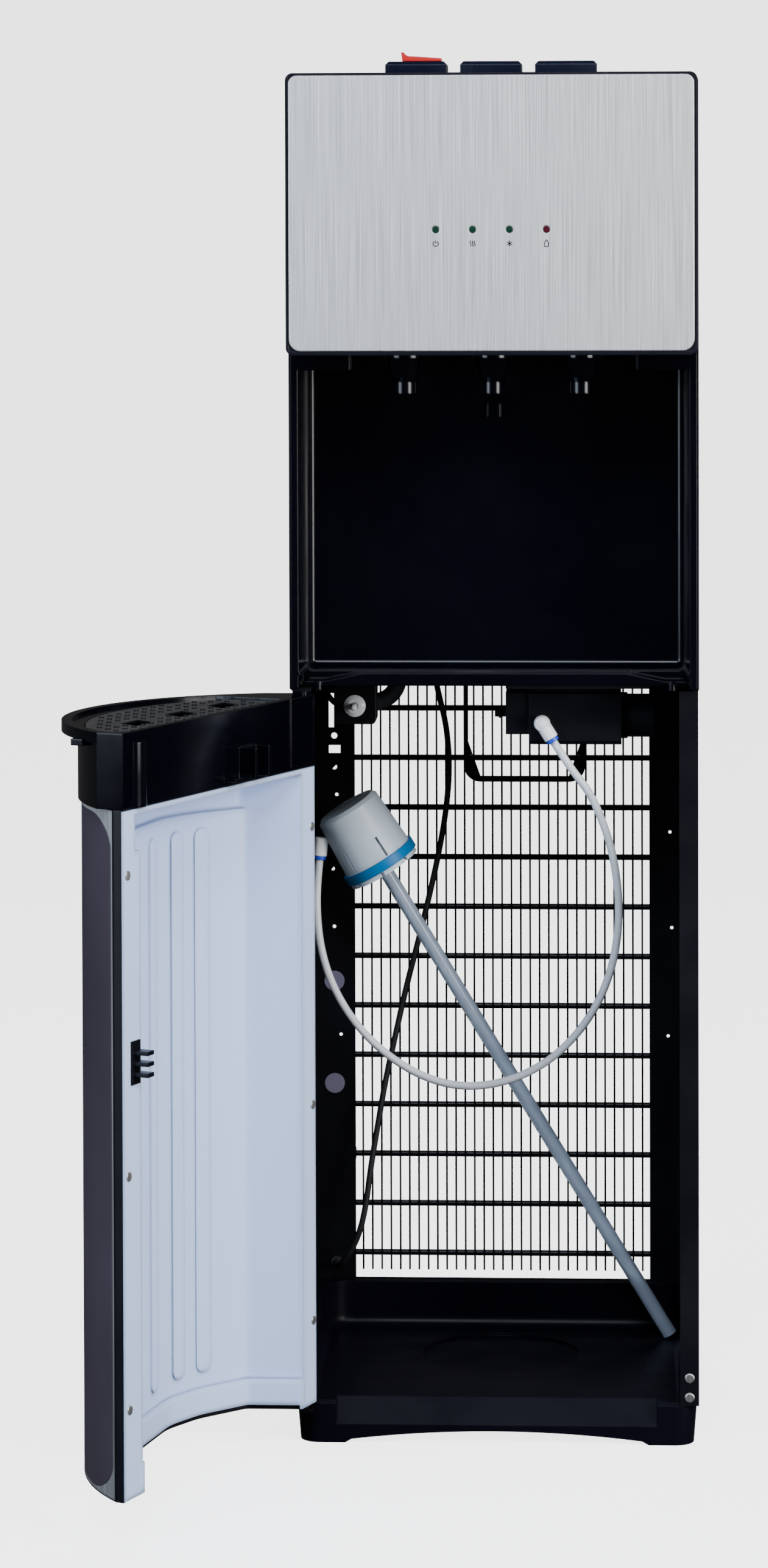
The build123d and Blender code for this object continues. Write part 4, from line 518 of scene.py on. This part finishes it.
def paint_white_pieces(tone):
    """Liner, white fittings and the foam jacket."""
    paint(formed_sheet("White formed liner", tone.liner), "door_liner")
    paint(moulded("White fittings", (0.80, 0.80, 0.80), 0.4), "tap_valves", "pump_elbow", "probe_socket")
    paint(glossy_plastic("White bezel", (0.72, 0.73, 0.75), 0.2), "switch_bezel", "switch_plunger")
    paint(moulded("Foam jacket", (0.72, 0.71, 0.66), 0.85, grain=300.0, depth=0.0004), "cold_tank")


def paint_coloured_pieces(tone):
    """Plugs, lenses, boards, catch, rings and rockers."""
    paint(moulded("Grey violet hole plugs", (0.17, 0.155, 0.23), 0.5), "flange_plugs")
    paint(lamp_lenses(), "status_lamps")
    paint(moulded("Green circuit board", (0.02, 0.16, 0.06), 0.5), "control_boards")
    paint(moulded("Red catch", (0.42, 0.008, 0.008), 0.35, grain=500.0), "child_lock_catch")
    paint(moulded("Blue collet rings", (0.01, 0.05, 0.55), 0.4), "collet_rings")
    paint(moulded("Blue probe ring", tone.ring, 0.45, specular=0.25), "probe_ring")
    paint(moulded("Green rocker", (0.02, 0.28, 0.08), 0.35), "cold_rocker")
    paint(moulded("Red rocker", (0.5, 0.02, 0.02), 0.35), "hot_rocker")


def paint_soft_and_clear_pieces():
    """Rubber mounts and bushes, insulation, and the probe's clear plastics."""
    paint(rubber("Black rubber", (0.006, 0.006, 0.008)), "compressor_mounts", "lead_bushes")
    paint(rubber("Grey insulation", (0.035, 0.038, 0.045), 0.7), "loop_pipe", "arc_hose")
    paint(frosted("Frosted probe cap", (0.70, 0.79, 0.87), 0.42, clear=0.30), "probe_cap")
    paint(frosted("Clear dip tube", (0.55, 0.62, 0.72), 0.2, clear=0.55), "dip_tube")


class COOLER_OT_finishes(Operator):
    """Procedural finishes of every piece that keeps its CAD shape"""

    bl_idname = "cooler.finishes"
    bl_label = "Finishes"

    def execute(self, context):
        tone = context.scene.cooler_finishes
        paint_black_mouldings()
        paint_coated_metal(tone)
        paint_bare_metal(tone)
        paint_white_pieces(tone)
        paint_coloured_pieces(tone)
        paint_soft_and_clear_pieces()
        return {"FINISHED"}


# ---------------------------------------------------------------- printed symbols
def corners_of(name):
    """Corners of a node's box."""
    node = NODES[name]
    return [node.matrix_world @ Vector(corner) for corner in node.bound_box]


def stroke(x0, z0, x1, z1, y):
    """One straight printed line between two points of the plate."""
    length = math.hypot(x1 - x0, z1 - z0)
    bpy.ops.mesh.primitive_cube_add(size=1, location=((x0 + x1) / 2, y, (z0 + z1) / 2))
    line = bpy.context.object
    line.scale = (length, INK, STROKE)
    line.rotation_euler = (0, -math.atan2(z1 - z0, x1 - x0), 0)
    settle(line)
    return line


def strokes(dots, y):
    """A printed line through several points, as short straight lines."""
    return [stroke(*a, *b, y) for a, b in zip(dots, dots[1:])]


def power_mark(x, z, y):
    """Open ring with an upright line."""
    radius, line_top = 0.0020, 0.0025
    start, end, steps = 120, 420, 14        # the ring's ends, in degrees
    turns = [math.radians(start + (end - start) * i / steps) for i in range(steps + 1)]
    ring = [(x + radius * math.cos(t), z + radius * math.sin(t)) for t in turns]
    return strokes(ring, y) + [stroke(x, z, x, z + line_top, y)]


def heat_mark(x, z, y):
    """Three wavy lines."""
    apart, sway, turn, low, rise, points = 0.0016, 0.0004, 1.2, 0.0022, 0.0009, 6
    lines = []
    for side in (-apart, 0.0, apart):
        wave = [(x + side + sway * math.sin(i * turn), z - low + rise * i) for i in range(points)]
        lines += strokes(wave, y)
    return lines


def cold_mark(x, z, y):
    """Snowflake of three crossed lines."""
    reach = 0.0024
    ends = [(reach * math.cos(math.radians(t)), reach * math.sin(math.radians(t))) for t in (90, 30, -30)]
    return [stroke(x - dx, z - dz, x + dx, z + dz, y) for dx, dz in ends]


def bottle_mark(x, z, y):
    """Outline of a water bottle."""
    half, neck = 0.0015, 0.0006
    foot, shoulder, collar, mouth = -0.0024, 0.0009, 0.0016, 0.0025
    shape = [(-half, foot), (half, foot), (half, shoulder), (neck, collar), (neck, mouth),
             (-neck, mouth), (-neck, collar), (-half, shoulder), (-half, foot)]
    return strokes([(x + dx, z + dz) for dx, dz in shape], y)


class COOLER_OT_symbols(Operator):
    """Small printed symbols below the indicator lamps"""

    bl_idname = "cooler.symbols"
    bl_label = "Symbols"

    def execute(self, context):
        deselect()
        y = min(corner.y for corner in corners_of("head_front_plate")) + INK_OFFSET
        heights = [corner.z for corner in corners_of("status_lamps")]
        level = (min(heights) + max(heights)) / 2 - SYMBOL_DROP
        marks = (power_mark, heat_mark, cold_mark, bottle_mark)
        middle = (len(marks) - 1) / 2
        lines = [line for i, mark in enumerate(marks) for line in mark(LAMP_PITCH * (i - middle), level, y)]
        symbols = join(lines, "Plate_symbols")
        coat(symbols, painted_steel("Dark grey print", (0.008, 0.008, 0.010), 0.6, peel=900.0, specular=0.1))
        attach(symbols, "cabinet")
        return {"FINISHED"}


# ---------------------------------------------------------------- cords
HOSE_ROUTE = [
    (74.5, -79, 512), (84.0, -74, 490), (91.5, -68, 467), (96.0, -62, 442),
    (98.0, -56, 416), (96.5, -49, 388), (91.0, -42, 361), (80.5, -35, 334), (64.5, -28, 309),
    (44.0, -21, 287.5), (20.0, -14, 272), (-6.5, -7, 262.5), (-34.0, 0, 260), (-60.5, 7, 265.5),
    (-85.0, 14, 277.5), (-107.0, 21, 294), (-126.0, 28, 315.5), (-140.5, 34, 341), (-149.0, 39, 369),
    (-152.0, 43, 398), (-151.5, 46, 422), (-149.2, 46.6, 443.0),
]
LEAD_ROUTE = [
    (-56.0, 112, 601.0), (-56.0, 112, 586), (-51.5, 112.5, 566), (-46.0, 113, 543), (-43.5, 113.5, 509),
    (-46.5, 113.5, 473), (-53.0, 113, 436), (-61.5, 112, 398), (-71.0, 110, 360), (-81.0, 107, 322),
    (-89.5, 104, 284), (-98.0, 100.7, 246), (-104.5, 96, 208), (-110.5, 92, 172), (-114.2, 89.5, 142),
    (-119.5, 88.0, 119), (-128.0, 89.5, 101.0), (-136.5, 97.0, 89.5), (-141.0, 110.0, 86.0),
    (-141.0, 124.0, 86.0),
]


def metres(place):
    """A place given in millimetres."""
    return [c / 1000 for c in place]


def cord_curve(name, route, diameter, finish):
    """A round cord on one smooth line through its route."""
    data = bpy.data.curves.new(name, "CURVE")
    data.dimensions = "3D"
    data.bevel_depth = diameter / 2
    data.bevel_resolution = 5
    data.resolution_u = 10
    data.use_fill_caps = True
    line = data.splines.new("NURBS")
    line.points.add(len(route) - 1)
    for point, place in zip(line.points, route):
        point.co = (*metres(place), 1.0)
    line.order_u = 3
    line.use_endpoint_u = True
    cord = bpy.data.objects.new(name, data)
    bpy.context.scene.collection.objects.link(cord)
    coat(cord, finish)
    return cord


def line_length(cord):
    """Length of a cord's own line, measured on a copy with no thickness."""
    data = cord.data.copy()
    data.bevel_depth = 0
    bare = bpy.data.objects.new("measure", data)
    bpy.context.scene.collection.objects.link(bare)
    mesh = bpy.data.meshes.new_from_object(bare.evaluated_get(bpy.context.evaluated_depsgraph_get()))
    ends = [[mesh.vertices[i].co for i in edge.vertices] for edge in mesh.edges]
    total = sum((a - b).length for a, b in ends)
    bpy.data.objects.remove(bare)
    bpy.data.meshes.remove(mesh)
    bpy.data.curves.remove(data)
    return total


class COOLER_OT_hose(Operator):
    """White water hose between the pump and the probe"""

    bl_idname = "cooler.hose"
    bl_label = "Water hose"

    def execute(self, context):
        width = context.scene.cooler_cords.hose_width
        way = Vector((math.sin(ELBOW_TILT), 0, -math.cos(ELBOW_TILT)))
        route = [tuple(ELBOW + way * BARREL_END), tuple(ELBOW + way * STRAIGHT_END)] + HOSE_ROUTE
        finish = frosted("White hose", (0.74, 0.77, 0.80), 0.3, clear=0.15)
        hose = cord_curve("Water_hose", route, width, finish)
        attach(hose, "cabinet")
        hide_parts("supply_hose")
        line_length(hose)
        return {"FINISHED"}


class COOLER_OT_lead(Operator):
    """Black lead at the back of the bottle bay"""

    bl_idname = "cooler.lead"
    bl_label = "Black lead"

    def execute(self, context):
        width = context.scene.cooler_cords.lead_width
        finish = rubber("Black lead", (0.008, 0.008, 0.009), 0.5)
        lead = cord_curve("Black_lead", LEAD_ROUTE, width, finish)
        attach(lead, "cabinet")
        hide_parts("black_lead")
        line_length(lead)
        return {"FINISHED"}


# ---------------------------------------------------------------- panel
OPERATORS = (COOLER_OT_stage, COOLER_OT_hose, COOLER_OT_lead, COOLER_OT_symbols, COOLER_OT_finishes)


class COOLER_PT_pieces(Panel):
    """Pieces and finishes of the water cooler"""

    bl_label = "Water cooler"
    bl_idname = "COOLER_PT_pieces"
    bl_space_type = "VIEW_3D"
    bl_region_type = "UI"
    bl_category = "Water cooler"

    def draw(self, context):
        layout = self.layout
        for operator in OPERATORS:
            layout.operator(operator.bl_idname)
        for group in (context.scene.cooler_finishes, context.scene.cooler_stage, context.scene.cooler_cords):
            for prop in group.bl_rna.properties:
                if prop.identifier not in ("rna_type", "name"):
                    layout.prop(group, prop.identifier)


CLASSES = (CoolerFinishes, CoolerStage, CoolerCords, *OPERATORS, COOLER_PT_pieces)


def register():
    """Register the classes and give the scene its settings."""
    for cls in CLASSES:
        bpy.utils.register_class(cls)
    bpy.types.Scene.cooler_finishes = PointerProperty(type=CoolerFinishes)
    bpy.types.Scene.cooler_stage = PointerProperty(type=CoolerStage)
    bpy.types.Scene.cooler_cords = PointerProperty(type=CoolerCords)


def unregister():
    """Take away what register added."""
    del bpy.types.Scene.cooler_cords
    del bpy.types.Scene.cooler_stage
    del bpy.types.Scene.cooler_finishes
    for cls in reversed(CLASSES):
        bpy.utils.unregister_class(cls)


def main():
    """Make every piece in order."""
    register()
    bpy.ops.cooler.stage()
    bpy.ops.cooler.hose()
    bpy.ops.cooler.lead()
    bpy.ops.cooler.symbols()
    bpy.ops.cooler.finishes()
    deselect()


if __name__ == "__main__":
    main()
